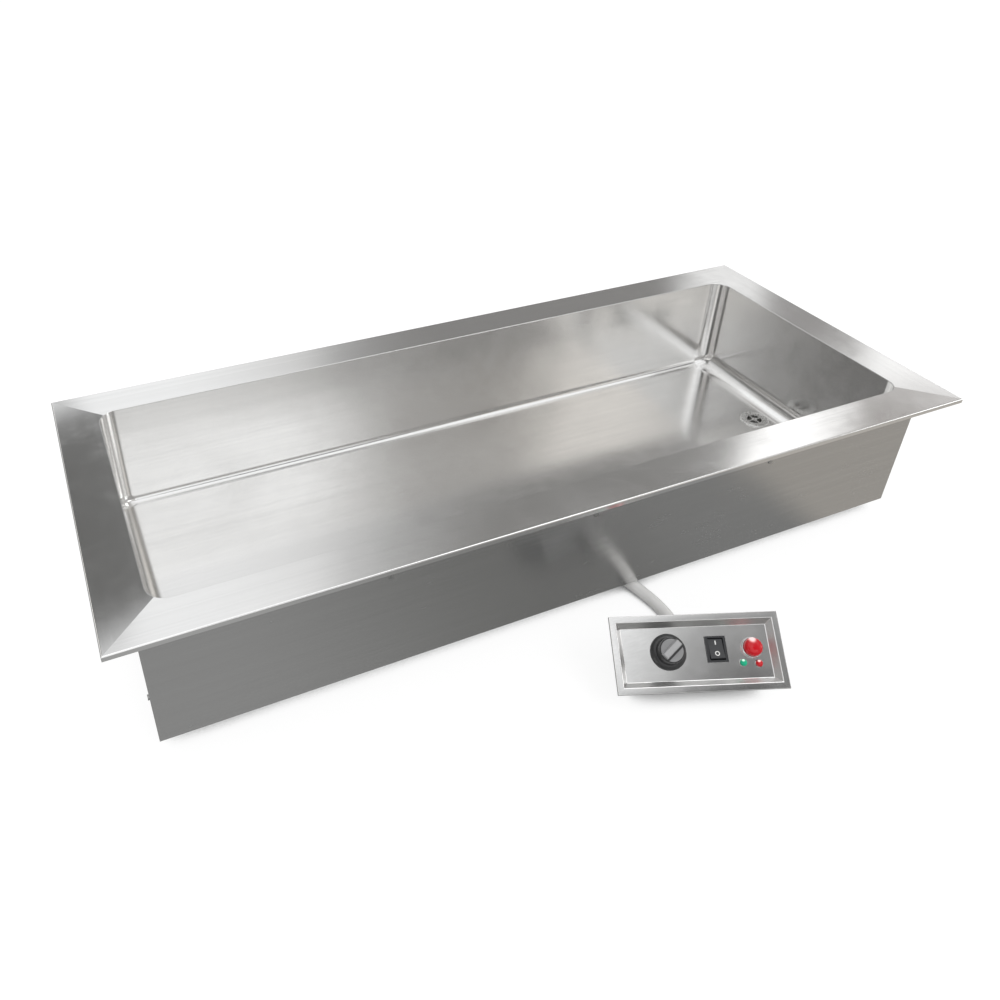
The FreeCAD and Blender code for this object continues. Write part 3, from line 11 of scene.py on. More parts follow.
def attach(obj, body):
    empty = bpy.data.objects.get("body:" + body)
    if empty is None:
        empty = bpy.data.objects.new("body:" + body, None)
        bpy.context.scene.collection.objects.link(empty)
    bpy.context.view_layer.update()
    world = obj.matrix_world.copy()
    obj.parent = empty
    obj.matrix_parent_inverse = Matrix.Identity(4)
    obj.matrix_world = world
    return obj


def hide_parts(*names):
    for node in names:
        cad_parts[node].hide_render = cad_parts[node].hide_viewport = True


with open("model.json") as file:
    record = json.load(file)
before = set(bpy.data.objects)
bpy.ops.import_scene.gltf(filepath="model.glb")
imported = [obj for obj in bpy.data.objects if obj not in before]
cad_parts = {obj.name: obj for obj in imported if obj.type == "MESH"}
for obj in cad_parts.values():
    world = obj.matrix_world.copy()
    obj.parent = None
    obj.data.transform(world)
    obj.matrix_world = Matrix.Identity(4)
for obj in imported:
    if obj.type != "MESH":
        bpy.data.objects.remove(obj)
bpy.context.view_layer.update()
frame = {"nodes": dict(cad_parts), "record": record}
NODES = frame["nodes"]
SCENE = bpy.context.scene

# Sizes repeated from the part's source, in metres
RIM_TOP = 0.220
RIM_UNDER = 0.2185
WELL_LENGTH = 1.086
WELL_WIDTH = 0.396
WELL_Y = 0.099425
WELL_FLOOR = 0.057
WELL_CORNER = 0.025
LONG_COVE = 0.010
END_COVE = 0.026
WELL_SHEET = 0.0012
RIM_GAP = 0.0004
RIM_ROUND = 0.0011
CASING_EASE = 0.0004
DRAIN_X = 0.490
DRAIN_HOLE = 0.017

PANEL_MIDDLE = (0.0677, -0.280575, 0.058233)
PANEL_TILT = math.radians(33.9)
PANEL_YAW = math.radians(20.508)
PANEL_WIDTH = 0.213
PANEL_HEIGHT = 0.094
PANEL_FLANGE = 0.0080
PANEL_SLOPE = 0.0065
PANEL_RECESS = 0.008
PANEL_LIP = 0.003
PANEL_SHEET = 0.0012
PANEL_FOLD = 0.0007
KNOB_PLACE = (-0.0356, 0.0026)
KNOB_LOW = -0.0074
KNOB_TURN = math.radians(40.0)
SHAFT_HOLE = 0.0045
ROCKER_PLACE = (0.0250, 0.0039)
ROCKER_SLOT = (0.0217, 0.0297)
ROCKER_EASE = 0.0005
# The marks on the button: where their middle lies in the panel's frame, and the slope of the button there
MARK_THICKNESS = 0.00024
ON_MARK = ((0.0250, 0.0118, -0.00752), math.radians(-4.3))
OFF_MARK = ((0.0250, -0.0016, -0.00570), math.radians(-11.9))
PILOT_PLACE = (0.0700, 0.0042)
PILOT_HOLE = 0.0079
LED_PLACES = ((0.0560, -0.0136), (0.0755, -0.0152))
LED_HOLE = 0.0031
PANEL_PLACE = (
    Matrix.Translation(PANEL_MIDDLE)
    @ Matrix.Rotation(-PANEL_YAW, 4, "Z")
    @ Matrix.Rotation(PANEL_TILT, 4, "X")
)

CONDUIT_DIAMETER = 0.017
CONDUIT_ROUTE = (
    (0.0930, -0.225575, 0.0110),
    (0.1028, -0.199375, 0.0110),
    (0.1072, -0.171675, 0.0092),
    (0.1052, -0.143775, 0.0090),
    (0.0994, -0.116375, 0.0090),
    (0.0926, -0.089175, 0.0096),
    (0.0887, -0.061475, 0.0140),
    (0.0887, -0.033475, 0.0140),
)


# The camera, as the photograph was taken

def place_camera():
    """The camera stands in front of the left end and looks down along the well."""
    lens = bpy.data.cameras.new("camera")
    lens.sensor_width = 36.0
    lens.lens = 32.13
    lens.shift_x = 0.0939
    lens.shift_y = -0.0783
    camera = bpy.data.objects.new("camera", lens)
    SCENE.collection.objects.link(camera)
    camera.location = (-0.56388, -0.82746, 0.90496)
    camera.rotation_euler = [math.radians(turn) for turn in (56.1405, -0.0499, -23.5169)]
    SCENE.camera = camera


def lay_conduit():
    """The smooth conduit from the control box to the terminal box."""
    line = bpy.data.curves.new("conduit_sleeve", "CURVE")
    line.dimensions = "3D"
    spline = line.splines.new("NURBS")
    spline.points.add(len(CONDUIT_ROUTE) - 1)
    for point, place in zip(spline.points, CONDUIT_ROUTE):
        point.co = (*place, 1.0)
    spline.order_u = 3
    spline.use_endpoint_u = True
    spline.resolution_u = 24
    line.bevel_depth = CONDUIT_DIAMETER / 2
    line.bevel_resolution = 10
    line.use_fill_caps = True
    conduit = bpy.data.objects.new("conduit_sleeve", line)
    SCENE.collection.objects.link(conduit)
    return conduit


place_camera()
conduit = lay_conduit()


# Node groups that more than one finish uses

def add(tree, kind, inputs=None, **settings):
    """Adds a shader node, with its settings, and gives each named input a value or a link."""
    made = tree.nodes.new(kind)
    for name, value in settings.items():
        setattr(made, name, value)
    for name, value in (inputs or {}).items():
        if isinstance(value, bpy.types.NodeSocket):
            tree.links.new(value, made.inputs[name])
        else:
            made.inputs[name].default_value = value
    return made


def open_group(name, inputs, outputs):
    """A new node group with named sockets: (the group, its inputs, its outputs)."""
    group = bpy.data.node_groups.new(name, "ShaderNodeTree")
    for label, kind, value in inputs:
        socket = group.interface.new_socket(name=label, in_out="INPUT", socket_type=kind)
        if value is not None:
            socket.default_value = value
    for label, kind in outputs:
        group.interface.new_socket(name=label, in_out="OUTPUT", socket_type=kind)
    return group, group.nodes.new("NodeGroupInput").outputs, group.nodes.new("NodeGroupOutput").inputs


def noise(tree, vector, scale, detail=2.0, roughness=0.5, distortion=0.0):
    """A noise pattern's value."""
    made = add(
        tree, "ShaderNodeTexNoise",
        {"Vector": vector, "Scale": scale, "Detail": detail, "Roughness": roughness, "Distortion": distortion},
    )
    return made.outputs["Fac"]


def reckon(tree, operation, first, second=0.0, third=0.0):
    """A sum on values."""
    inputs = {0: first, 1: second}
    if operation in ("MULTIPLY_ADD", "WRAP"):
        inputs[2] = third
    return add(tree, "ShaderNodeMath", inputs, operation=operation).outputs[0]


def spread(tree, value, low, high, to_low=0.0, to_high=1.0, smooth=True):
    """A value's stretch from low to high, spread over another stretch."""
    made = add(
        tree, "ShaderNodeMapRange",
        {"Value": value, "From Min": low, "From Max": high, "To Min": to_low, "To Max": to_high},
        interpolation_type="SMOOTHSTEP" if smooth else "LINEAR",
    )
    return made.outputs["Result"]


def blend_colours(tree, share, first, second):
    """A colour between two colours."""
    made = add(tree, "ShaderNodeMix", {0: share}, data_type="RGBA")
    for socket, value in ((made.inputs[6], first), (made.inputs[7], second)):
        if isinstance(value, bpy.types.NodeSocket):
            tree.links.new(value, socket)
        else:
            socket.default_value = (*value, 1.0)
    return made.outputs[2]


def brushing_group():
    """Fine lines of a brushed sheet. Vector runs along the grain in x and is stretched across it."""
    group, given, result = open_group(
        "brushed_grain",
        [("Vector", "NodeSocketVector", None), ("Wear", "NodeSocketFloat", 0.5)],
        [("Lines", "NodeSocketFloat"), ("Depth", "NodeSocketFloat")],
    )
    fine = noise(group, given["Vector"], 1.0, detail=4.0, roughness=0.7)
    wide = noise(group, given["Vector"], 0.23, detail=3.0, roughness=0.6, distortion=0.2)
    streaks = reckon(group, "MULTIPLY_ADD", wide, given["Wear"], fine)
    group.links.new(spread(group, streaks, 0.45, 1.15), result["Lines"])
    group.links.new(fine, result["Depth"])
    return group


def waviness_group():
    """The slow waves that pressing and welding leave in a thin sheet."""
    group, given, result = open_group(
        "sheet_waves",
        [("Vector", "NodeSocketVector", None), ("Size", "NodeSocketFloat", 4.0)],
        [("Height", "NodeSocketFloat")],
    )
    slow = add(group, "ShaderNodeTexNoise", {"Vector": given["Vector"], "Scale": given["Size"], "Detail": 1.0})
    group.links.new(slow.outputs["Fac"], result["Height"])
    return group


def handling_group():
    """Patches where a surface has been wiped and handled."""
    group, given, result = open_group(
        "handling_marks",
        [("Vector", "NodeSocketVector", None), ("Amount", "NodeSocketFloat", 0.5)],
        [("Mask", "NodeSocketFloat")],
    )
    patches = noise(group, given["Vector"], 7.0, detail=5.0, roughness=0.62, distortion=0.6)
    spots = noise(group, given["Vector"], 55.0, detail=3.0)
    both = reckon(group, "MULTIPLY_ADD", spots, 0.3, patches)
    group.links.new(reckon(group, "MULTIPLY", spread(group, both, 0.5, 0.9), given["Amount"]), result["Mask"])
    return group


def spangle_group():
    """The crystal spangle of a zinc coat."""
    group, given, result = open_group(
        "zinc_spangle",
        [("Vector", "NodeSocketVector", None), ("Size", "NodeSocketFloat", 90.0)],
        [("Shade", "NodeSocketFloat"), ("Edge", "NodeSocketFloat")],
    )
    cells = add(group, "ShaderNodeTexVoronoi", {"Vector": given["Vector"], "Scale": given["Size"]})
    grey = add(group, "ShaderNodeSeparateColor", {"Color": cells.outputs["Color"]})
    group.links.new(grey.outputs[0], result["Shade"])
    group.links.new(cells.outputs["Distance"], result["Edge"])
    return group


def moulding_group():
    """The fine eroded texture of a moulded plastic skin."""
    group, given, result = open_group(
        "moulded_skin",
        [("Vector", "NodeSocketVector", None), ("Grain", "NodeSocketFloat", 900.0)],
        [("Depth", "NodeSocketFloat"), ("Shade", "NodeSocketFloat")],
    )
    made = add(group, "ShaderNodeTexNoise", {"Vector": given["Vector"], "Scale": given["Grain"], "Detail": 2.0})
    group.links.new(made.outputs["Fac"], result["Depth"])
    group.links.new(noise(group, given["Vector"], 40.0, detail=3.0), result["Shade"])
    return group


def fibre_group():
    """The tangled fibres of mineral wool."""
    group, given, result = open_group(
        "wool_fibres",
        [("Vector", "NodeSocketVector", None)],
        [("Shade", "NodeSocketFloat"), ("Depth", "NodeSocketFloat")],
    )
    strands = noise(group, given["Vector"], 160.0, detail=6.0, roughness=0.75, distortion=2.5)
    clumps = noise(group, given["Vector"], 22.0, detail=3.0, distortion=0.8)
    group.links.new(reckon(group, "MULTIPLY_ADD", clumps, 0.6, strands), result["Shade"])
    group.links.new(strands, result["Depth"])
    return group


BRUSHING = brushing_group()
WAVES = waviness_group()
HANDLING = handling_group()
SPANGLE = spangle_group()
MOULDING = moulding_group()
FIBRES = fibre_group()


def use(tree, group, **inputs):
    """Places a node group in a material, with its values."""
    made = tree.nodes.new("ShaderNodeGroup")
    made.node_tree = group
    for name, value in inputs.items():
        if isinstance(value, bpy.types.NodeSocket):
            tree.links.new(value, made.inputs[name])
        else:
            made.inputs[name].default_value = value
    return made.outputs


# Finishes

def open_finish(name):
    """A new material: (the material, its node tree, its shader, where on the piece a point is)."""
    finish = bpy.data.materials.new(name)
    finish.use_nodes = True
    tree = finish.node_tree
    tree.nodes.clear()
    shader = tree.nodes.new("ShaderNodeBsdfPrincipled")
    output = tree.nodes.new("ShaderNodeOutputMaterial")
    tree.links.new(shader.outputs[0], output.inputs[0])
    return finish, tree, shader, tree.nodes.new("ShaderNodeTexCoord").outputs["Object"]


def set_bump(tree, shader, layers):
    """Layers of relief, each with a height, a distance in metres and a strength."""
    normal = None
    for height, distance, strength in layers:
        inputs = {"Height": height, "Distance": distance, "Strength": strength}
        if normal is not None:
            inputs["Normal"] = normal
        normal = add(tree, "ShaderNodeBump", inputs).outputs[0]
    tree.links.new(normal, shader.inputs["Normal"])


def brushed_steel(
    name, dark, light, rough, grain, wave=0.0015, wave_size=5.0, anisotropy=0.0, handled=0.05, lean=(0.0, 0.0),
    relief=0.000004
):
    """Brushed stainless steel. grain stretches the pattern: small along the lines and large across them.
    lean is the slope along x and y that welding has left in the sheet."""
    finish, tree, shader, place = open_finish(name)
    stretched = add(tree, "ShaderNodeMapping", {"Vector": place, "Scale": grain}).outputs[0]
    lines = use(tree, BRUSHING, Vector=stretched, Wear=0.6)
    marks = use(tree, HANDLING, Vector=place, Amount=1.0)["Mask"]
    waves = use(tree, WAVES, Vector=place, Size=wave_size)["Height"]
    tree.links.new(blend_colours(tree, lines["Lines"], dark, light), shader.inputs["Base Color"])
    streaky = spread(tree, lines["Lines"], 0.0, 1.0, rough * 1.12, rough * 0.9, smooth=False)
    tree.links.new(reckon(tree, "MULTIPLY_ADD", marks, handled, streaky), shader.inputs["Roughness"])
    layers = [(waves, wave, 1.0), (lines["Depth"], relief, 1.0)]
    if any(lean):
        parts = add(tree, "ShaderNodeSeparateXYZ", {0: place}).outputs
        along_y = reckon(tree, "MULTIPLY", parts[1], lean[1])
        layers.append((reckon(tree, "MULTIPLY_ADD", parts[0], lean[0], along_y), 1.0, 1.0))
    set_bump(tree, shader, layers)
    shader.inputs["Metallic"].default_value = 1.0
    if anisotropy:
        shader.inputs["Anisotropic"].default_value = anisotropy
        across = add(tree, "ShaderNodeTangent", direction_type="UV_MAP", uv_map="grain")
        tree.links.new(across.outputs[0], shader.inputs["Tangent"])
    return finish


def plated(name, dark, light, rough, size=90.0):
    """Zinc or nickel plate, with a faint spangle and wiped patches."""
    finish, tree, shader, place = open_finish(name)
    spangle = use(tree, SPANGLE, Vector=place, Size=size)
    marks = use(tree, HANDLING, Vector=place, Amount=1.0)["Mask"]
    tree.links.new(blend_colours(tree, spangle["Shade"], dark, light), shader.inputs["Base Color"])
    mottled = spread(tree, spangle["Shade"], 0.0, 1.0, rough * 0.85, rough * 1.15, smooth=False)
    tree.links.new(reckon(tree, "MULTIPLY_ADD", marks, 0.12, mottled), shader.inputs["Roughness"])
    set_bump(tree, shader, [(spangle["Edge"], 0.00004, 0.4)])
    shader.inputs["Metallic"].default_value = 1.0
    return finish


def moulded(name, dark, light, rough, grain=900.0, relief=0.00005, coat=0.0):
    """Moulded plastic or rubber with a fine skin."""
    finish, tree, shader, place = open_finish(name)
    skin = use(tree, MOULDING, Vector=place, Grain=grain)
    marks = use(tree, HANDLING, Vector=place, Amount=1.0)["Mask"]
    tree.links.new(blend_colours(tree, skin["Shade"], dark, light), shader.inputs["Base Color"])
    plain = spread(tree, skin["Depth"], 0.2, 0.8, rough * 0.94, rough * 1.06, smooth=False)
    tree.links.new(reckon(tree, "MULTIPLY_ADD", marks, 0.1, plain), shader.inputs["Roughness"])
    set_bump(tree, shader, [(skin["Depth"], relief, 0.5)])
    shader.inputs["Coat Weight"].default_value = coat
    shader.inputs["Coat Roughness"].default_value = 0.08
    return finish


def lamp_lens(name, dark, light, glow, painted_highlight_spot, painted_highlight_radius):
    """Clear coloured plastic over a lamp, with the lamp's faint glow inside and a painted highlight: a white glowing
    spot near the top of the dome.
    The spot's middle is given in the panel's own frame, and its radius in metres."""
    finish, tree, shader, place = open_finish(name)
    skin = use(tree, MOULDING, Vector=place, Grain=260.0)
    tree.links.new(blend_colours(tree, skin["Shade"], dark, light), shader.inputs["Base Color"])
    tree.links.new(spread(tree, skin["Depth"], 0.0, 1.0, 0.12, 0.2, smooth=False), shader.inputs["Roughness"])
    # Painted highlight: a white glowing spot near the top of the dome, standing in for the reflection of a bright
    # light
    away = add(tree, "ShaderNodeVectorMath", {0: place, 1: PANEL_PLACE @ Vector(painted_highlight_spot)}, operation="DISTANCE")
    lit = spread(tree, away.outputs["Value"], painted_highlight_radius * 0.35, painted_highlight_radius, 1.0, 0.0)
    faint = blend_colours(tree, skin["Shade"], [0.1 * part for part in light], [0.1 * part for part in glow])
    painted_highlight_core = reckon(tree, "MULTIPLY", lit, lit)
    tree.links.new(blend_colours(tree, painted_highlight_core, faint, (1.0, 0.97, 0.95)), shader.inputs["Emission Color"])
    shader.inputs["Emission Strength"].default_value = 0.85
    shader.inputs["Specular IOR Level"].default_value = 0.1
    shader.inputs["Coat Weight"].default_value = 0.8
    shader.inputs["Coat Roughness"].default_value = 0.04
    return finish


def wool_board(name):
    """Pale mineral wool."""
    finish, tree, shader, place = open_finish(name)
    fibres = use(tree, FIBRES, Vector=place)
    share = spread(tree, fibres["Shade"], 0.5, 1.1)
    tree.links.new(blend_colours(tree, share, (0.42, 0.36, 0.20), (0.72, 0.67, 0.48)), shader.inputs["Base Color"])
    tree.links.new(spread(tree, fibres["Depth"], 0.0, 1.0, 0.85, 1.0, smooth=False), shader.inputs["Roughness"])
    set_bump(tree, shader, [(fibres["Depth"], 0.0015, 0.9)])
    return finish


# How a brushed pattern is stretched along and across its lines, and the pale and dark of each sheet
ALONG_X = (1.2, 420.0, 420.0)
ALONG_Y = (420.0, 1.2, 420.0)
STEEL_DARK = (0.812, 0.809, 0.802)
STEEL_LIGHT = (0.868, 0.865, 0.858)
# Painted light: the front rim strip's steel is paler than the back and side strips of the same rim
FRONT_RIM_BRIGHTENED_DARK = (0.912, 0.908, 0.900)
FRONT_RIM_BRIGHTENED_LIGHT = (0.968, 0.964, 0.956)
WELL_STEEL_DARK = (0.872, 0.868, 0.860)
WELL_STEEL_LIGHT = (0.928, 0.924, 0.916)
SATIN_DARK = (0.64, 0.638, 0.632)
SATIN_LIGHT = (0.69, 0.688, 0.682)

FINISHES = {
    "well_x": brushed_steel(
        "well_steel_brushed_along", WELL_STEEL_DARK, WELL_STEEL_LIGHT, 0.15, ALONG_X, wave=0.0010, anisotropy=0.5
    ),
    # Painted light: the front strip has paler steel than the other strips of the rim
    "rim_front": brushed_steel(
        "front_rim_steel_brushed_along", FRONT_RIM_BRIGHTENED_DARK, FRONT_RIM_BRIGHTENED_LIGHT, 0.11, ALONG_X, wave=0.0005, anisotropy=0.8
    ),
    "rim_back": brushed_steel(
        "back_rim_steel_brushed_along", STEEL_DARK, STEEL_LIGHT, 0.11, ALONG_X, wave=0.0005, anisotropy=0.8
    ),
    "rim_left": brushed_steel(
        "left_rim_steel_brushed_across", STEEL_DARK, STEEL_LIGHT, 0.11, ALONG_Y, wave=0.0005, anisotropy=0.8,
        lean=(0.07, 0.0)
    ),
    "rim_right": brushed_steel(
        "right_rim_steel_brushed_across", STEEL_DARK, STEEL_LIGHT, 0.11, ALONG_Y, wave=0.0005, anisotropy=0.8,
        lean=(0.0, -0.02)
    ),
    "casing_x": brushed_steel(
        "casing_steel_satin_along", SATIN_DARK, SATIN_LIGHT, 0.22, ALONG_X, wave=0.0005, anisotropy=0.7,
        relief=0.000002
    ),
    "casing_y": brushed_steel(
        "casing_steel_satin_across", SATIN_DARK, SATIN_LIGHT, 0.22, ALONG_Y, wave=0.0005, anisotropy=0.7,
        relief=0.000002
    ),
    "panel": brushed_steel(
        "panel_steel_brushed", STEEL_DARK, STEEL_LIGHT, 0.12, ALONG_X, wave=0.0001, wave_size=20.0, anisotropy=0.5
    ),
    # Painted shade: the slopes of the same pressed sheet get a darker, rougher copy of its steel, which dims what they
    # mirror
    "panel_slope": brushed_steel(
        "panel_slope_steel_darkened", SATIN_DARK, SATIN_LIGHT, 0.42, ALONG_X, wave=0.0001, wave_size=20.0
    ),
    "galvanised": plated("zinc_plated_sheet", (0.48, 0.49, 0.50), (0.60, 0.61, 0.62), 0.38),
    "fixings": plated("nickel_fixings", (0.50, 0.50, 0.50), (0.58, 0.58, 0.57), 0.30, size=700.0),
    "element_steel": plated("heater_sheath", (0.16, 0.15, 0.14), (0.28, 0.27, 0.25), 0.5, size=400.0),
    "copper": plated("bulb_copper", (0.62, 0.30, 0.18), (0.78, 0.45, 0.30), 0.34, size=300.0),
    "brass": plated("nut_brass", (0.62, 0.47, 0.20), (0.78, 0.62, 0.32), 0.3, size=300.0),
    "drain_metal": plated("drain_chrome", (0.80, 0.80, 0.79), (0.88, 0.88, 0.87), 0.20, size=500.0),
    "lamp_chrome": plated("bezel_chrome", (0.60, 0.60, 0.60), (0.70, 0.70, 0.70), 0.14, size=900.0),
    "seal_rubber": moulded("gasket_rubber", (0.012, 0.012, 0.012), (0.03, 0.03, 0.03), 0.75, grain=600.0),
    "mineral_wool": wool_board("mineral_wool_board"),
    "black_plastic": moulded("black_plastic_parts", (0.018, 0.018, 0.018), (0.035, 0.035, 0.034), 0.55),
    "white_plastic": moulded("terminal_plastic", (0.70, 0.70, 0.67), (0.82, 0.82, 0.80), 0.45),
    "connector_plastic": moulded("connector_plastic", (0.085, 0.085, 0.088), (0.13, 0.13, 0.135), 0.42),
    "conduit_plastic": moulded(
        "conduit_sleeve_skin", (0.92, 0.915, 0.90), (0.97, 0.965, 0.95), 0.34, relief=0.0001, coat=0.8
    ),
    "knob_plastic": moulded("knob_plastic", (0.020, 0.020, 0.021), (0.034, 0.034, 0.035), 0.30, coat=0.3),
    "cap_grey": moulded("knob_cap_grey", (0.21, 0.21, 0.214), (0.28, 0.28, 0.284), 0.26, relief=0.00002, coat=0.3),
    "grip_grey": moulded("knob_grip_grey", (0.32, 0.32, 0.325), (0.42, 0.42, 0.425), 0.26, relief=0.00002, coat=0.3),
    "rocker_plastic": moulded("rocker_plastic", (0.018, 0.019, 0.021), (0.03, 0.031, 0.034), 0.28, coat=0.3),
    "mark_paint": moulded("white_marks", (0.72, 0.72, 0.70), (0.84, 0.84, 0.82), 0.5, grain=500.0),
    # Each lens's spot and radius place its painted highlight near the top of its dome
    "pilot_red": lamp_lens(
        "pilot_lens_red", (0.36, 0.003, 0.007), (0.54, 0.006, 0.015), (1.0, 0.04, 0.05),
        (PILOT_PLACE[0] - 0.0014, PILOT_PLACE[1] + 0.0084, 0.0010), 0.0068
    ),
    "small_red": lamp_lens(
        "indicator_lens_red", (0.40, 0.003, 0.007), (0.58, 0.006, 0.015), (1.0, 0.04, 0.05),
        (LED_PLACES[1][0] - 0.0010, LED_PLACES[1][1] + 0.0028, -0.0036), 0.0030
    ),
    "small_green": lamp_lens(
        "indicator_lens_green", (0.0, 0.22, 0.11), (0.006, 0.44, 0.24), (0.05, 0.9, 0.5),
        (LED_PLACES[0][0] - 0.0010, LED_PLACES[0][1] + 0.0028, -0.0036), 0.0030
    ),
}


# Tools of the bench

def deselect():
    """Leaves edit mode and selects nothing."""
    if bpy.context.object and bpy.context.object.mode != "OBJECT":
        bpy.ops.object.mode_set(mode="OBJECT")
    bpy.ops.object.select_all(action="DESELECT")


def take(piece, mode="OBJECT"):
    """Selects one piece alone and goes into a mode on it."""
    deselect()
    piece.select_set(True)
    bpy.context.view_layer.objects.active = piece
    bpy.ops.object.mode_set(mode=mode)


def begin(name, primitive, scale=(1.0, 1.0, 1.0), **place):
    """Adds a primitive at its size and place and opens it for editing."""
    deselect()
    primitive(**place)
    piece = bpy.context.object
    piece.scale = scale
    piece.name = name
    piece.data.name = name
    bpy.ops.object.transform_apply(location=True, rotation=True, scale=True)
    bpy.ops.object.mode_set(mode="EDIT")
    return piece


def begin_from_node(name, node):
    """A merged copy of a CAD node's mesh, opened for editing."""
    mesh = NODES[node].data.copy()
    mesh.name = name
    mesh.materials.clear()
    piece = bpy.data.objects.new(name, mesh)
    SCENE.collection.objects.link(piece)
    take(piece, "EDIT")
    bpy.ops.mesh.select_all(action="SELECT")
    bpy.ops.mesh.customdata_custom_splitnormals_clear()
    bpy.ops.mesh.remove_doubles(threshold=0.000002)
    bpy.ops.mesh.dissolve_limited(angle_limit=math.radians(0.6))
    return piece


def pick(piece, kind, test):
    """In edit mode, selects the faces, edges or corners that the test picks."""
    bpy.ops.mesh.select_mode(type=kind)
    bpy.ops.mesh.select_all(action="DESELECT")
    cage = bmesh.from_edit_mesh(piece.data)
    for part in {"FACE": cage.faces, "EDGE": cage.edges, "VERT": cage.verts}[kind]:
        if test(part):
            part.select_set(True)
    bmesh.update_edit_mesh(piece.data)


def middle(part):
    """The middle of a face's or an edge's corners."""
    return sum((corner.co for corner in part.verts), Vector()) / len(part.verts)


def folded(edge, angle=math.radians(30.0)):
    """Whether the faces beside an edge meet at an angle."""
    return edge.is_manifold and edge.calc_face_angle(0.0) > angle


def finish_with(piece, kind, **settings):
    """Adds a modifier and applies it."""
    take(piece)
    modifier = piece.modifiers.new(kind.lower(), kind)
    for name, value in settings.items():
        setattr(modifier, name, value)
    bpy.ops.object.modifier_apply(modifier=modifier.name)


def cut(piece, cutter):
    """Cuts one shape out of another and removes the cutter."""
    deselect()
    finish_with(piece, "BOOLEAN", object=cutter, operation="DIFFERENCE", solver="EXACT")
    bpy.data.objects.remove(cutter)


def join(piece, *others):
    """Joins pieces into the first one."""
    take(piece)
    for other in others:
        other.select_set(True)
    bpy.ops.object.join()
    return piece


def lay_grain(piece):
    """A UV map whose u runs across the brushing, so that highlights spread that way."""
    take(piece)
    mesh = piece.data
    grain = mesh.uv_layers.get("grain") or mesh.uv_layers.new(name="grain")
    along_x = Vector((1, 0, 0))
    along_y = Vector((0, 1, 0))
    for face in mesh.polygons:
        normal = face.normal
        on_end = abs(normal.x) > max(abs(normal.y), abs(normal.z))
        along = along_y if on_end else along_x
        if piece.get("grain_axis") == "Y":
            along = along_y if abs(normal.y) < 0.8 else along_x
        across = normal.cross(along).normalized()
        for corner in face.loop_indices:
            point = mesh.vertices[mesh.loops[corner].vertex_index].co
            grain.data[corner].uv = (point.dot(across), point.dot(along))


def settle(piece, finish, body, slot, *nodes, angle=30.0):
    """Smooths a piece, gives it its finish, and sets it on its body in place of its CAD nodes."""
    take(piece)
    bpy.ops.object.shade_smooth_by_angle(angle=math.radians(angle))
    finish_with(piece, "WEIGHTED_NORMAL", mode="FACE_AREA", keep_sharp=True)
    piece.data.materials.clear()
    piece.data.materials.append(FINISHES[finish])
    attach(piece, body)
    if nodes:
        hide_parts(*nodes)
    return piece


def onto_panel(piece):
    """Moves a piece made in the panel's own frame to its place on the tilted box."""
    take(piece)
    piece.matrix_world = PANEL_PLACE
    bpy.ops.object.transform_apply(location=True, rotation=True, scale=True)
    return piece


def turned(name, outline, segments=64, place=(0.0, 0.0), closed=True):
    """A turned piece: rings drawn up one from another along an outline of (radius, height)."""
    x, y = place
    radius, height = outline[0]
    piece = begin(
        name, bpy.ops.mesh.primitive_circle_add, vertices=segments, radius=radius,
        location=(x, y, height), fill_type="NGON" if closed else "NOTHING",
    )
    pick(piece, "EDGE", lambda edge: True)
    for (last_radius, last_height), (radius, height) in zip(outline, outline[1:]):
        bpy.ops.mesh.extrude_edges_move(TRANSFORM_OT_translate={"value": (0, 0, height - last_height)})
        share = radius / last_radius
        bpy.ops.transform.resize(value=(share, share, 1.0), center_override=(x, y, height))
    if closed:
        bpy.ops.mesh.edge_face_add()
    bpy.ops.mesh.select_all(action="SELECT")
    bpy.ops.mesh.remove_doubles(threshold=0.000001)
    bpy.ops.mesh.normals_make_consistent(inside=False)
    return piece


# The well and its rim

def make_well():
    """The pressed well: a tray with coves, thickened outwards, with the drain's hole."""
    well = begin(
        "pressed_well", bpy.ops.mesh.primitive_cube_add, size=1.0,
        location=(0.0, WELL_Y, (WELL_FLOOR + RIM_UNDER) / 2),
        scale=(WELL_LENGTH, WELL_WIDTH, RIM_UNDER - WELL_FLOOR),
    )
    pick(well, "FACE", lambda face: face.normal.z > 0.9)
    bpy.ops.mesh.delete(type="FACE")
    take(well)
    weights = well.data.attributes.new("bevel_weight_edge", "FLOAT", "EDGE")
    for edge in well.data.edges:
        ends = [well.data.vertices[corner].co for corner in edge.vertices]
        span = [abs(a - b) for a, b in zip(*ends)]
        if span[2] > 0.01:
            weights.data[edge.index].value = WELL_CORNER / END_COVE
        elif max(end.z for end in ends) < WELL_FLOOR + 0.001:
            weights.data[edge.index].value = 1.0 if span[1] > span[0] else LONG_COVE / END_COVE
    finish_with(well, "BEVEL", width=END_COVE, segments=14, limit_method="WEIGHT", profile=0.5)
    finish_with(well, "SOLIDIFY", thickness=WELL_SHEET, offset=1.0, use_even_offset=True)
    hole = turned("drain_hole", [(DRAIN_HOLE, 0.05), (DRAIN_HOLE, 0.08)], place=(DRAIN_X, WELL_Y))
    cut(well, hole)
    lay_grain(well)
    settle(well, "well_x", "tub", "well_steel", "well")


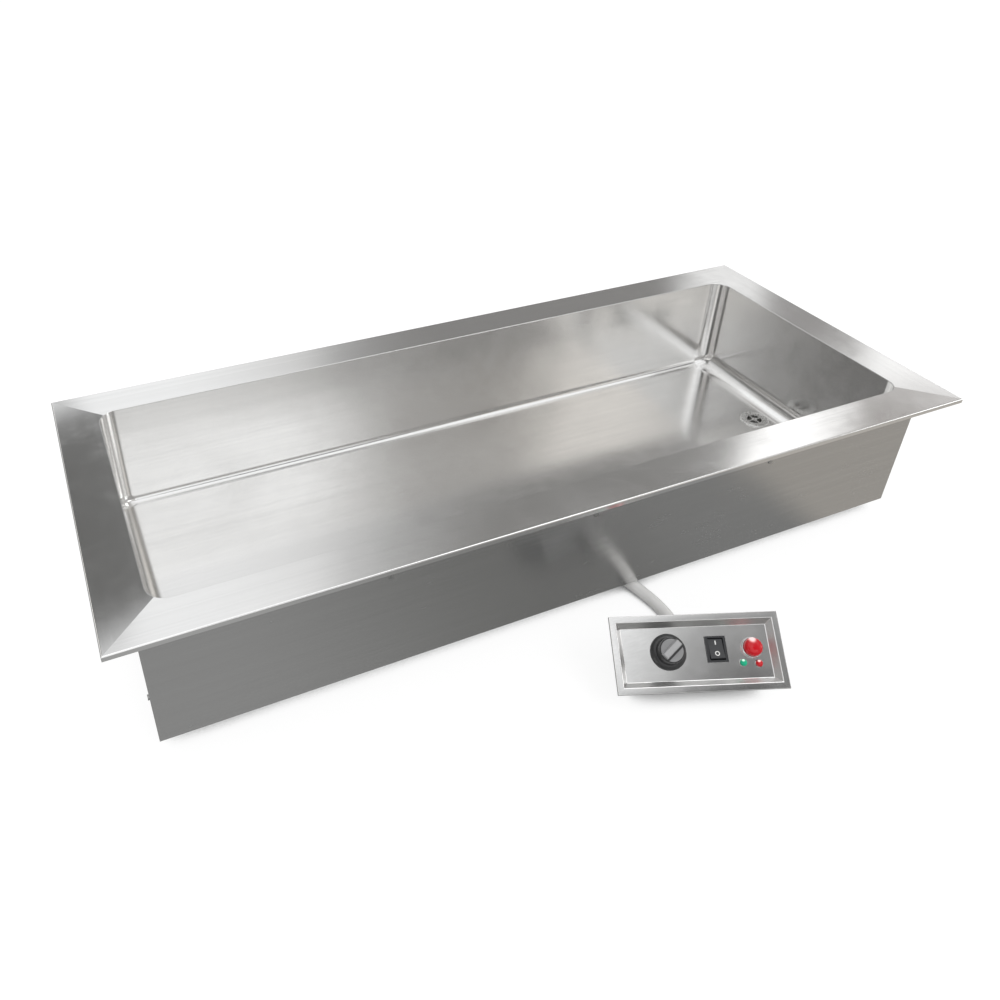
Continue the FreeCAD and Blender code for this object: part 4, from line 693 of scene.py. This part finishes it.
def make_rim():
    """Four mitred flange strips, with the inner edge rolled over into the well."""
    half_x = WELL_LENGTH / 2 + RIM_GAP
    half_y = WELL_WIDTH / 2 + RIM_GAP

    def inner(edge):
        spot = middle(edge)
        inside = abs(spot.x) < half_x and abs(spot.y - WELL_Y) < half_y
        return folded(edge) and inside and all(abs(corner.co.z - RIM_TOP) < 0.0002 for corner in edge.verts)

    for side in ("front", "back", "left", "right"):
        strip = begin_from_node("flange_" + side, "rim_" + side)
        pick(strip, "EDGE", inner)
        bpy.ops.mesh.bevel(offset=RIM_ROUND, segments=4, affect="EDGES", clamp_overlap=False)
        strip["grain_axis"] = "X" if side in ("front", "back") else "Y"
        lay_grain(strip)
        settle(strip, "rim_" + side, "tub", "well_steel", "rim_" + side)


def make_casing():
    """The four folded casing panels, with eased edges."""
    for side in ("front", "back", "left", "right"):
        panel = begin_from_node("casing_panel_" + side, "casing_" + side)
        pick(panel, "EDGE", lambda edge: folded(edge) and edge.calc_length() > 0.02)
        bpy.ops.mesh.bevel(offset=CASING_EASE, segments=2, affect="EDGES", clamp_overlap=False)
        lay_grain(panel)
        finish = "casing_x" if side in ("front", "back") else "casing_y"
        settle(panel, finish, "tub", "casing_steel", "casing_" + side)


# The control box

def make_control_panel():
    """The sunk panel, pressed from one sheet, with the holes for its controls."""
    panel = begin(
        "pressed_control_panel", bpy.ops.mesh.primitive_plane_add, size=1.0,
        scale=(PANEL_WIDTH, PANEL_HEIGHT, 1.0),
    )
    pick(panel, "FACE", lambda face: True)
    bpy.ops.mesh.inset(thickness=PANEL_FLANGE, depth=0.0)
    bpy.ops.mesh.inset(thickness=PANEL_SLOPE, depth=-PANEL_RECESS)
    pick(panel, "EDGE", lambda edge: edge.is_boundary)
    bpy.ops.mesh.extrude_edges_move(TRANSFORM_OT_translate={"value": (0, 0, -PANEL_LIP)})
    pick(panel, "EDGE", lambda edge: folded(edge, math.radians(10.0)))
    bpy.ops.mesh.bevel(offset=PANEL_FOLD, segments=3, affect="EDGES")
    bpy.ops.mesh.select_all(action="SELECT")
    bpy.ops.mesh.normals_make_consistent(inside=False)
    finish_with(panel, "SOLIDIFY", thickness=PANEL_SHEET, offset=-1.0, use_even_offset=True)
    low = -PANEL_RECESS - 0.004
    high = -PANEL_RECESS + 0.003
    holes = ((SHAFT_HOLE, KNOB_PLACE), (PILOT_HOLE, PILOT_PLACE), (LED_HOLE, LED_PLACES[0]), (LED_HOLE, LED_PLACES[1]))
    for radius, place in holes:
        cut(panel, turned("hole", [(radius, low), (radius, high)], place=place, segments=32))
    slot = begin(
        "slot", bpy.ops.mesh.primitive_cube_add, size=1.0, location=(*ROCKER_PLACE, (low + high) / 2),
        scale=(*ROCKER_SLOT, high - low),
    )
    cut(panel, slot)
    onto_panel(panel)
    lay_grain(panel)
    settle(panel, "panel", "tub", "panel_steel", "control_panel")
    # Painted shade: the slopes take the darker, rougher copy of the panel's steel
    panel.data.materials.append(FINISHES["panel_slope"])
    to_panel = PANEL_PLACE.inverted()
    for face in panel.data.polygons:
        spot = to_panel @ face.center
        if -PANEL_RECESS + 0.0006 < spot.z < -0.0006 and abs(spot.x) < PANEL_WIDTH / 2 - PANEL_FLANGE / 2:
            face.material_index = 1


def make_knob():
    """The thermostat's knob: a black skirt and body, a grey cap, a raised grip across it, and a thin black strip
    beside the grip that is its painted shadow on the cap.
    """
    low = KNOB_LOW
    body = turned("knob_body", [
        (0.0185, low), (0.0218, low), (0.0223, low + 0.0005), (0.0222, low + 0.0015), (0.0216, low + 0.0022),
        (0.0204, low + 0.0032), (0.0188, low + 0.0046), (0.0168, low + 0.0051), (0.0165, low + 0.0058),
        (0.0156, low + 0.0148), (0.0152, low + 0.0158), (0.0146, low + 0.0162), (0.0143, low + 0.0160),
        (0.0141, low + 0.0154),
    ], place=KNOB_PLACE, segments=80)
    disc = turned("knob_cap", [
        (0.0138, low + 0.0150), (0.0140, low + 0.0158), (0.0139, low + 0.0163), (0.0132, low + 0.0167),
        (0.0110, low + 0.0171), (0.0075, low + 0.0174), (0.0035, low + 0.0176), (0.0008, low + 0.0176),
    ], place=KNOB_PLACE, segments=80)
    grip = begin(
        "knob_grip", bpy.ops.mesh.primitive_cube_add, size=1.0, location=(0.0, 0.0010, low + 0.0190),
        scale=(0.0270, 0.0100, 0.0060),
    )
    pick(grip, "FACE", lambda face: face.normal.z > 0.9)
    bpy.ops.transform.resize(value=(0.95, 0.72, 1.0))
    pick(grip, "EDGE", lambda edge: middle(edge).z > low + 0.0165)
    bpy.ops.mesh.bevel(offset=0.0010, segments=3, affect="EDGES")
    # Painted shadow: a thin black strip on the cap that shows along the grip's lower side, where the grip's shadow
    # falls
    grip_shadow_strip = begin(
        "knob_grip_shadow_strip", bpy.ops.mesh.primitive_cube_add, size=1.0, location=(0.0, -0.0012, low + 0.01755),
        scale=(0.0274, 0.0098, 0.0005),
    )
    pick(grip_shadow_strip, "EDGE", lambda edge: True)
    bpy.ops.mesh.bevel(offset=0.0002, segments=2, affect="EDGES")
    for part in (grip, grip_shadow_strip):
        take(part)
        part.matrix_world = Matrix.Translation((*KNOB_PLACE, 0.0)) @ Matrix.Rotation(KNOB_TURN, 4, "Z")
        bpy.ops.object.transform_apply(location=True, rotation=True, scale=True)
    join(body, grip_shadow_strip)
    for part in (body, disc, grip):
        onto_panel(part)
    settle(body, "knob_plastic", "thermostat_knob", "knob_plastic", "knob")
    settle(disc, "cap_grey", "thermostat_knob", "knob_plastic")
    settle(grip, "grip_grey", "thermostat_knob", "knob_plastic")


def make_rocker():
    """The rocker's frame and button with eased edges, and its two marks: a bar for on and a ring for off."""
    bezel = begin_from_node("rocker_bezel", "rocker_frame")
    pick(bezel, "EDGE", lambda edge: folded(edge) and edge.calc_length() > 0.012)
    bpy.ops.mesh.bevel(offset=ROCKER_EASE, segments=3, affect="EDGES", clamp_overlap=False)
    settle(bezel, "rocker_plastic", "tub", "rocker_plastic", "rocker_frame")
    button = begin_from_node("rocker_paddle", "rocker_button")
    pick(button, "EDGE", lambda edge: folded(edge) and edge.calc_length() > 0.006)
    bpy.ops.mesh.bevel(offset=ROCKER_EASE, segments=3, affect="EDGES", clamp_overlap=False)
    settle(button, "rocker_plastic", "switch_button", "rocker_plastic", "rocker_button")
    bar = begin(
        "rocker_on_mark", bpy.ops.mesh.primitive_cube_add, size=1.0, scale=(0.0014, 0.0050, MARK_THICKNESS)
    )
    pick(bar, "EDGE", lambda edge: abs(edge.verts[0].co.z - edge.verts[1].co.z) > 0.0001)
    bpy.ops.mesh.bevel(offset=0.0003, segments=2, affect="EDGES")
    half = MARK_THICKNESS / 2
    ring = turned(
        "rocker_off_mark", [(0.0019, -half), (0.0030, -half), (0.0030, half), (0.0019, half), (0.0019, -half)],
        segments=48, closed=False,
    )
    for mark, (place, tilt) in ((bar, ON_MARK), (ring, OFF_MARK)):
        take(mark)
        mark.matrix_world = Matrix.Translation(place) @ Matrix.Rotation(tilt, 4, "X")
        bpy.ops.object.transform_apply(location=True, rotation=True, scale=True)
        settle(onto_panel(mark), "mark_paint", "switch_button", "rocker_plastic")


def make_lamps():
    """The pilot lamp and the two small indicator lamps."""
    floor = -PANEL_RECESS
    bezel = turned("pilot_bezel", [
        (0.0078, -0.036), (0.0078, floor), (0.0130, floor), (0.0132, floor + 0.0003), (0.0131, floor + 0.0012),
        (0.0124, floor + 0.0019), (0.0118, floor + 0.0020), (0.0114, floor + 0.0016), (0.0112, floor + 0.0013),
    ], place=PILOT_PLACE)
    settle(onto_panel(bezel), "lamp_chrome", "tub", "lamp_chrome", "pilot_body")
    top = floor + 0.002
    lens = turned("pilot_dome", [
        (0.0111, floor + 0.0016), (0.0114, top + 0.0018), (0.0114, top + 0.0036), (0.0111, top + 0.0054),
        (0.0104, top + 0.0070), (0.0093, top + 0.0083), (0.0078, top + 0.0092), (0.0060, top + 0.0097),
        (0.0040, top + 0.0099), (0.0020, top + 0.0100), (0.0006, top + 0.0100),
    ], place=PILOT_PLACE)
    settle(onto_panel(lens), "pilot_red", "tub", "red_lens_plastic", "pilot_lens", angle=50.0)
    for place, node, finish in (
        (LED_PLACES[0], "green_lens", "small_green"), (LED_PLACES[1], "red_lens", "small_red")
    ):
        small = turned(node + "_dome", [
            (0.0041, floor + 0.0008), (0.0042, floor + 0.0022), (0.0040, floor + 0.0030), (0.0034, floor + 0.0040),
            (0.0024, floor + 0.0048), (0.0012, floor + 0.0051), (0.0004, floor + 0.0052),
        ], place=place, segments=40)
        settle(onto_panel(small), finish, "tub", node + "_plastic", node, angle=50.0)
    rings = []
    for count, place in enumerate(LED_PLACES):
        rings.append(turned("indicator_ring_%d" % count, [
            (0.0030, -0.030), (0.0030, floor), (0.0049, floor), (0.0050, floor + 0.0002), (0.0049, floor + 0.0008),
            (0.0046, floor + 0.0010), (0.0043, floor + 0.0009), (0.0042, floor + 0.0006),
        ], place=place, segments=40))
        onto_panel(rings[-1])
    settle(join(*rings), "lamp_chrome", "tub", "lamp_chrome", "indicator_bodies")


make_well()
make_rim()
make_casing()
make_control_panel()
make_knob()
make_rocker()
make_lamps()

conduit.data.materials.append(FINISHES["conduit_plastic"])
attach(conduit, "tub")
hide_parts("conduit")

# The CAD nodes that stay: each gets its slot's finish, smoothed but for edges sharper than this
SHARP_EDGE = math.radians(32.0)
SHEET_FINISHES = {"casing_steel": "casing_x", "panel_steel": "panel", "well_steel": "well_x"}
slots = {part["node"]: part["material_slot"] for part in frame["record"]["subparts"]}
for name, node in NODES.items():
    if node.hide_render:
        continue
    node.data.materials.clear()
    node.data.materials.append(FINISHES[SHEET_FINISHES.get(slots[name], slots[name])])
    for face in node.data.polygons:
        face.use_smooth = True
    weld = node.modifiers.new("weld", "WELD")
    weld.merge_threshold = 0.000002
    split = node.modifiers.new("edges", "EDGE_SPLIT")
    split.split_angle = SHARP_EDGE


# The studio

# What bright work mirrors where no patch is
STUDIO_GROUND = (0.486, 0.477, 0.468)
MATT_LIGHT = (0.92, 0.92, 0.92)
WHITE = (1.0, 1.0, 1.0)
# The patches that it mirrors: azimuth from the back towards the right, half its width, elevation, half its
# height, softness of the sides and of the top, and the light there
STUDIO_PATCHES = (
    ("ceiling", 0.0, 200.0, 80.0, 29.0, 1.0, 7.0, (1.020, 1.028, 1.036)),
    ("ceiling_lamp", 15.0, 60.0, 69.0, 5.0, 6.0, 3.0, (1.500, 1.500, 1.500)),
    ("front_beam_left", 167.5, 5.5, 49.9, 6.3, 3.5, 1.2, (0.070, 0.070, 0.068)),
    ("front_beam_right", 155.0, 9.0, 51.0, 7.0, 3.5, 4.0, (0.300, 0.300, 0.300)),
    ("front_dark", 163.5, 5.0, 51.0, 3.6, 3.0, 2.0, (0.090, 0.090, 0.090)),
    ("front_window", 189.5, 23.5, 31.0, 13.0, 8.0, 3.0, (0.950, 0.957, 0.963)),
    ("front_window_top", 187.0, 25.0, 37.4, 1.7, 10.0, 1.4, (1.300, 1.308, 1.316)),
    ("left_window", 213.8, 12.0, 30.0, 14.0, 4.0, 5.0, (0.830, 0.836, 0.842)),
    ("left_post", 239.0, 9.0, 30.0, 14.0, 5.0, 6.0, (0.090, 0.088, 0.085)),
    ("front_post", 152.0, 4.5, 30.0, 14.0, 5.0, 5.0, (0.250, 0.239, 0.225)),
    ("front_window_foot", 154.5, 3.5, 36.3, 2.3, 3.0, 1.5, (0.520, 0.514, 0.505)),
    ("front_slit", 141.9, 2.7, 30.0, 14.0, 2.5, 5.0, (0.900, 0.872, 0.834)),
    ("back_wall", 33.0, 14.0, 30.0, 20.0, 4.0, 5.0, (0.261, 0.257, 0.252)),
    ("back_wall_top", 34.0, 11.0, 43.0, 7.0, 6.0, 4.0, (0.215, 0.212, 0.206)),
    ("back_window", -4.0, 9.0, 27.0, 8.0, 20.0, 4.0, (1.020, 1.029, 1.038)),
    ("back_window_top", -4.0, 6.0, 43.0, 6.0, 32.0, 5.0, (0.865, 0.872, 0.879)),
    ("right_wall", 61.0, 6.0, 33.0, 6.0, 2.0, 2.0, (0.340, 0.322, 0.312)),
    ("right_window", 51.85, 2.85, 37.0, 7.8, 0.5, 2.0, (1.110, 1.108, 1.105)),
    ("right_window_bright", 50.4, 1.0, 37.0, 7.8, 0.9, 2.0, (1.500, 1.498, 1.494)),
    ("right_haze", 50.0, 9.0, 48.5, 4.5, 3.0, 1.5, (0.620, 0.620, 0.620)),
    ("right_low", 50.8, 2.6, 22.0, 3.6, 2.0, 1.0, (0.351, 0.342, 0.338)),
    ("corner_light", 44.4, 1.3, 19.0, 7.0, 2.0, 2.0, (1.000, 1.000, 1.000)),
    ("far_light", 58.5, 4.0, 20.5, 5.2, 2.2, 0.7, (1.350, 1.350, 1.350)),
    ("left_flag", -17.0, 15.0, 36.8, 5.6, 3.0, 2.5, (0.150, 0.150, 0.147)),
    ("left_side", -41.0, 7.0, 24.0, 6.0, 4.0, 3.0, (1.190, 1.177, 1.159)),
    ("lamp_glint", 66.0, 14.0, 62.0, 7.0, 4.0, 4.0, (2.400, 2.400, 2.400)),
    ("slope_window", 121.0, 7.0, 22.0, 7.5, 3.0, 2.0, (2.600, 2.612, 2.624)),
    ("left_low", 250.0, 10.0, 8.0, 7.0, 5.0, 4.0, (1.500, 1.500, 1.500)),
    ("left_dark", -61.0, 9.0, 27.0, 9.0, 6.0, 6.0, (0.130, 0.130, 0.128)),
    ("left_upper", -46.0, 6.0, 34.5, 2.0, 4.0, 1.2, (0.200, 0.200, 0.197)),
)


# The floor as bright work mirrors it: its grey at the left, and where along x it turns to other greys
FLOOR_WEST = (0.340, 0.342, 0.340)
FLOOR_SHADES = (
    (-0.50, -0.02, (0.205, 0.206, 0.202)),
    (0.05, 0.30, (0.250, 0.252, 0.250)),
    (0.40, 0.49, (0.43, 0.41, 0.38)),
)


def paint_studio():
    """A white room: white to the eye, plain to matt things, and with windows and dark walls for bright work."""
    world = bpy.data.worlds.new("studio")
    SCENE.world = world
    world.use_nodes = True
    world.cycles.sampling_method = "NONE"
    tree = world.node_tree
    tree.nodes.clear()
    way = add(tree, "ShaderNodeTexCoord").outputs["Generated"]
    parts = add(tree, "ShaderNodeSeparateXYZ", {0: way}).outputs
    azimuth = reckon(tree, "MULTIPLY", reckon(tree, "ARCTAN2", parts[0], parts[1]), 180.0 / math.pi)
    elevation = reckon(tree, "MULTIPLY", reckon(tree, "ARCSINE", parts[2]), 180.0 / math.pi)
    seen = STUDIO_GROUND
    for _, turn, half_turn, rise, half_rise, side, top, light in STUDIO_PATCHES:
        off = reckon(tree, "ABSOLUTE", reckon(tree, "WRAP", reckon(tree, "SUBTRACT", azimuth, turn), 180.0, -180.0))
        across = spread(tree, off, half_turn, half_turn + side, 1.0, 0.0)
        above = reckon(tree, "ABSOLUTE", reckon(tree, "SUBTRACT", elevation, rise))
        up = spread(tree, above, half_rise, half_rise + top, 1.0, 0.0)
        seen = blend_colours(tree, reckon(tree, "MULTIPLY", across, up), seen, light)
    rays = add(tree, "ShaderNodeLightPath").outputs
    mirrored = reckon(tree, "MAXIMUM", rays["Is Glossy Ray"], rays["Is Transmission Ray"])
    plain = blend_colours(tree, mirrored, MATT_LIGHT, seen)
    colour = blend_colours(tree, rays["Is Camera Ray"], plain, WHITE)
    background = add(tree, "ShaderNodeBackground", {"Color": colour, "Strength": 1.0})
    output = tree.nodes.new("ShaderNodeOutputWorld")
    tree.links.new(background.outputs[0], output.inputs[0])


def lay_floor():
    """A white floor that keeps the object's shadow and that bright work mirrors as mid grey."""
    deselect()
    bpy.ops.mesh.primitive_plane_add(size=40.0, location=(0.0, 0.0, 0.0))
    floor = bpy.context.object
    floor.name = "studio_floor"
    paint = bpy.data.materials.new("studio_floor_paint")
    paint.use_nodes = True
    paint.cycles.emission_sampling = "NONE"
    tree = paint.node_tree
    tree.nodes.clear()
    rays = add(tree, "ShaderNodeLightPath").outputs
    near = add(tree, "ShaderNodeAmbientOcclusion", {"Distance": 0.06}, samples=12).outputs["AO"]
    shade = spread(tree, near, 0.18, 0.68)
    white = blend_colours(tree, spread(tree, near, 0.10, 0.46), (0.05, 0.05, 0.05), WHITE)
    eye = add(tree, "ShaderNodeEmission", {"Color": white, "Strength": 1.16})
    east = add(tree, "ShaderNodeSeparateXYZ", {0: add(tree, "ShaderNodeTexCoord").outputs["Object"]}).outputs[0]
    grey = FLOOR_WEST
    for start, end, shade_there in FLOOR_SHADES:
        grey = blend_colours(tree, spread(tree, east, start, end), grey, shade_there)
    mirror_colour = blend_colours(tree, shade, (0.10, 0.10, 0.10), grey)
    mirror = add(tree, "ShaderNodeEmission", {"Color": mirror_colour})
    matt = add(tree, "ShaderNodeBsdfDiffuse", {"Color": (0.75, 0.75, 0.75, 1.0)})
    lit = add(tree, "ShaderNodeMixShader", {0: 0.25, 1: eye.outputs[0], 2: matt.outputs[0]})
    glossy = reckon(tree, "MAXIMUM", rays["Is Glossy Ray"], rays["Is Transmission Ray"])
    others = add(tree, "ShaderNodeMixShader", {0: glossy, 1: matt.outputs[0], 2: mirror.outputs[0]})
    whole = add(tree, "ShaderNodeMixShader", {0: rays["Is Camera Ray"], 1: others.outputs[0], 2: lit.outputs[0]})
    output = tree.nodes.new("ShaderNodeOutputMaterial")
    tree.links.new(whole.outputs[0], output.inputs[0])
    floor.data.materials.append(paint)


def hang_lamp(name, place, target, size, power):
    """A soft lamp that matt things are lit by."""
    data = bpy.data.lights.new(name, "AREA")
    data.shape = "RECTANGLE"
    data.size, data.size_y = size
    data.energy = power
    lamp = bpy.data.objects.new(name, data)
    SCENE.collection.objects.link(lamp)
    lamp.location = place
    lamp.rotation_euler = (Vector(target) - Vector(place)).to_track_quat("-Z", "Y").to_euler()
    lamp.visible_glossy = False
    lamp.visible_camera = False


paint_studio()
lay_floor()
hang_lamp("window_lamp", (-0.6, 1.6, 2.0), (0.0, 0.1, 0.1), (1.6, 1.0), 22.0)
hang_lamp("front_lamp", (0.9, -1.8, 2.2), (0.0, -0.1, 0.1), (1.6, 1.0), 16.0)

SCENE.view_settings.view_transform = "Standard"
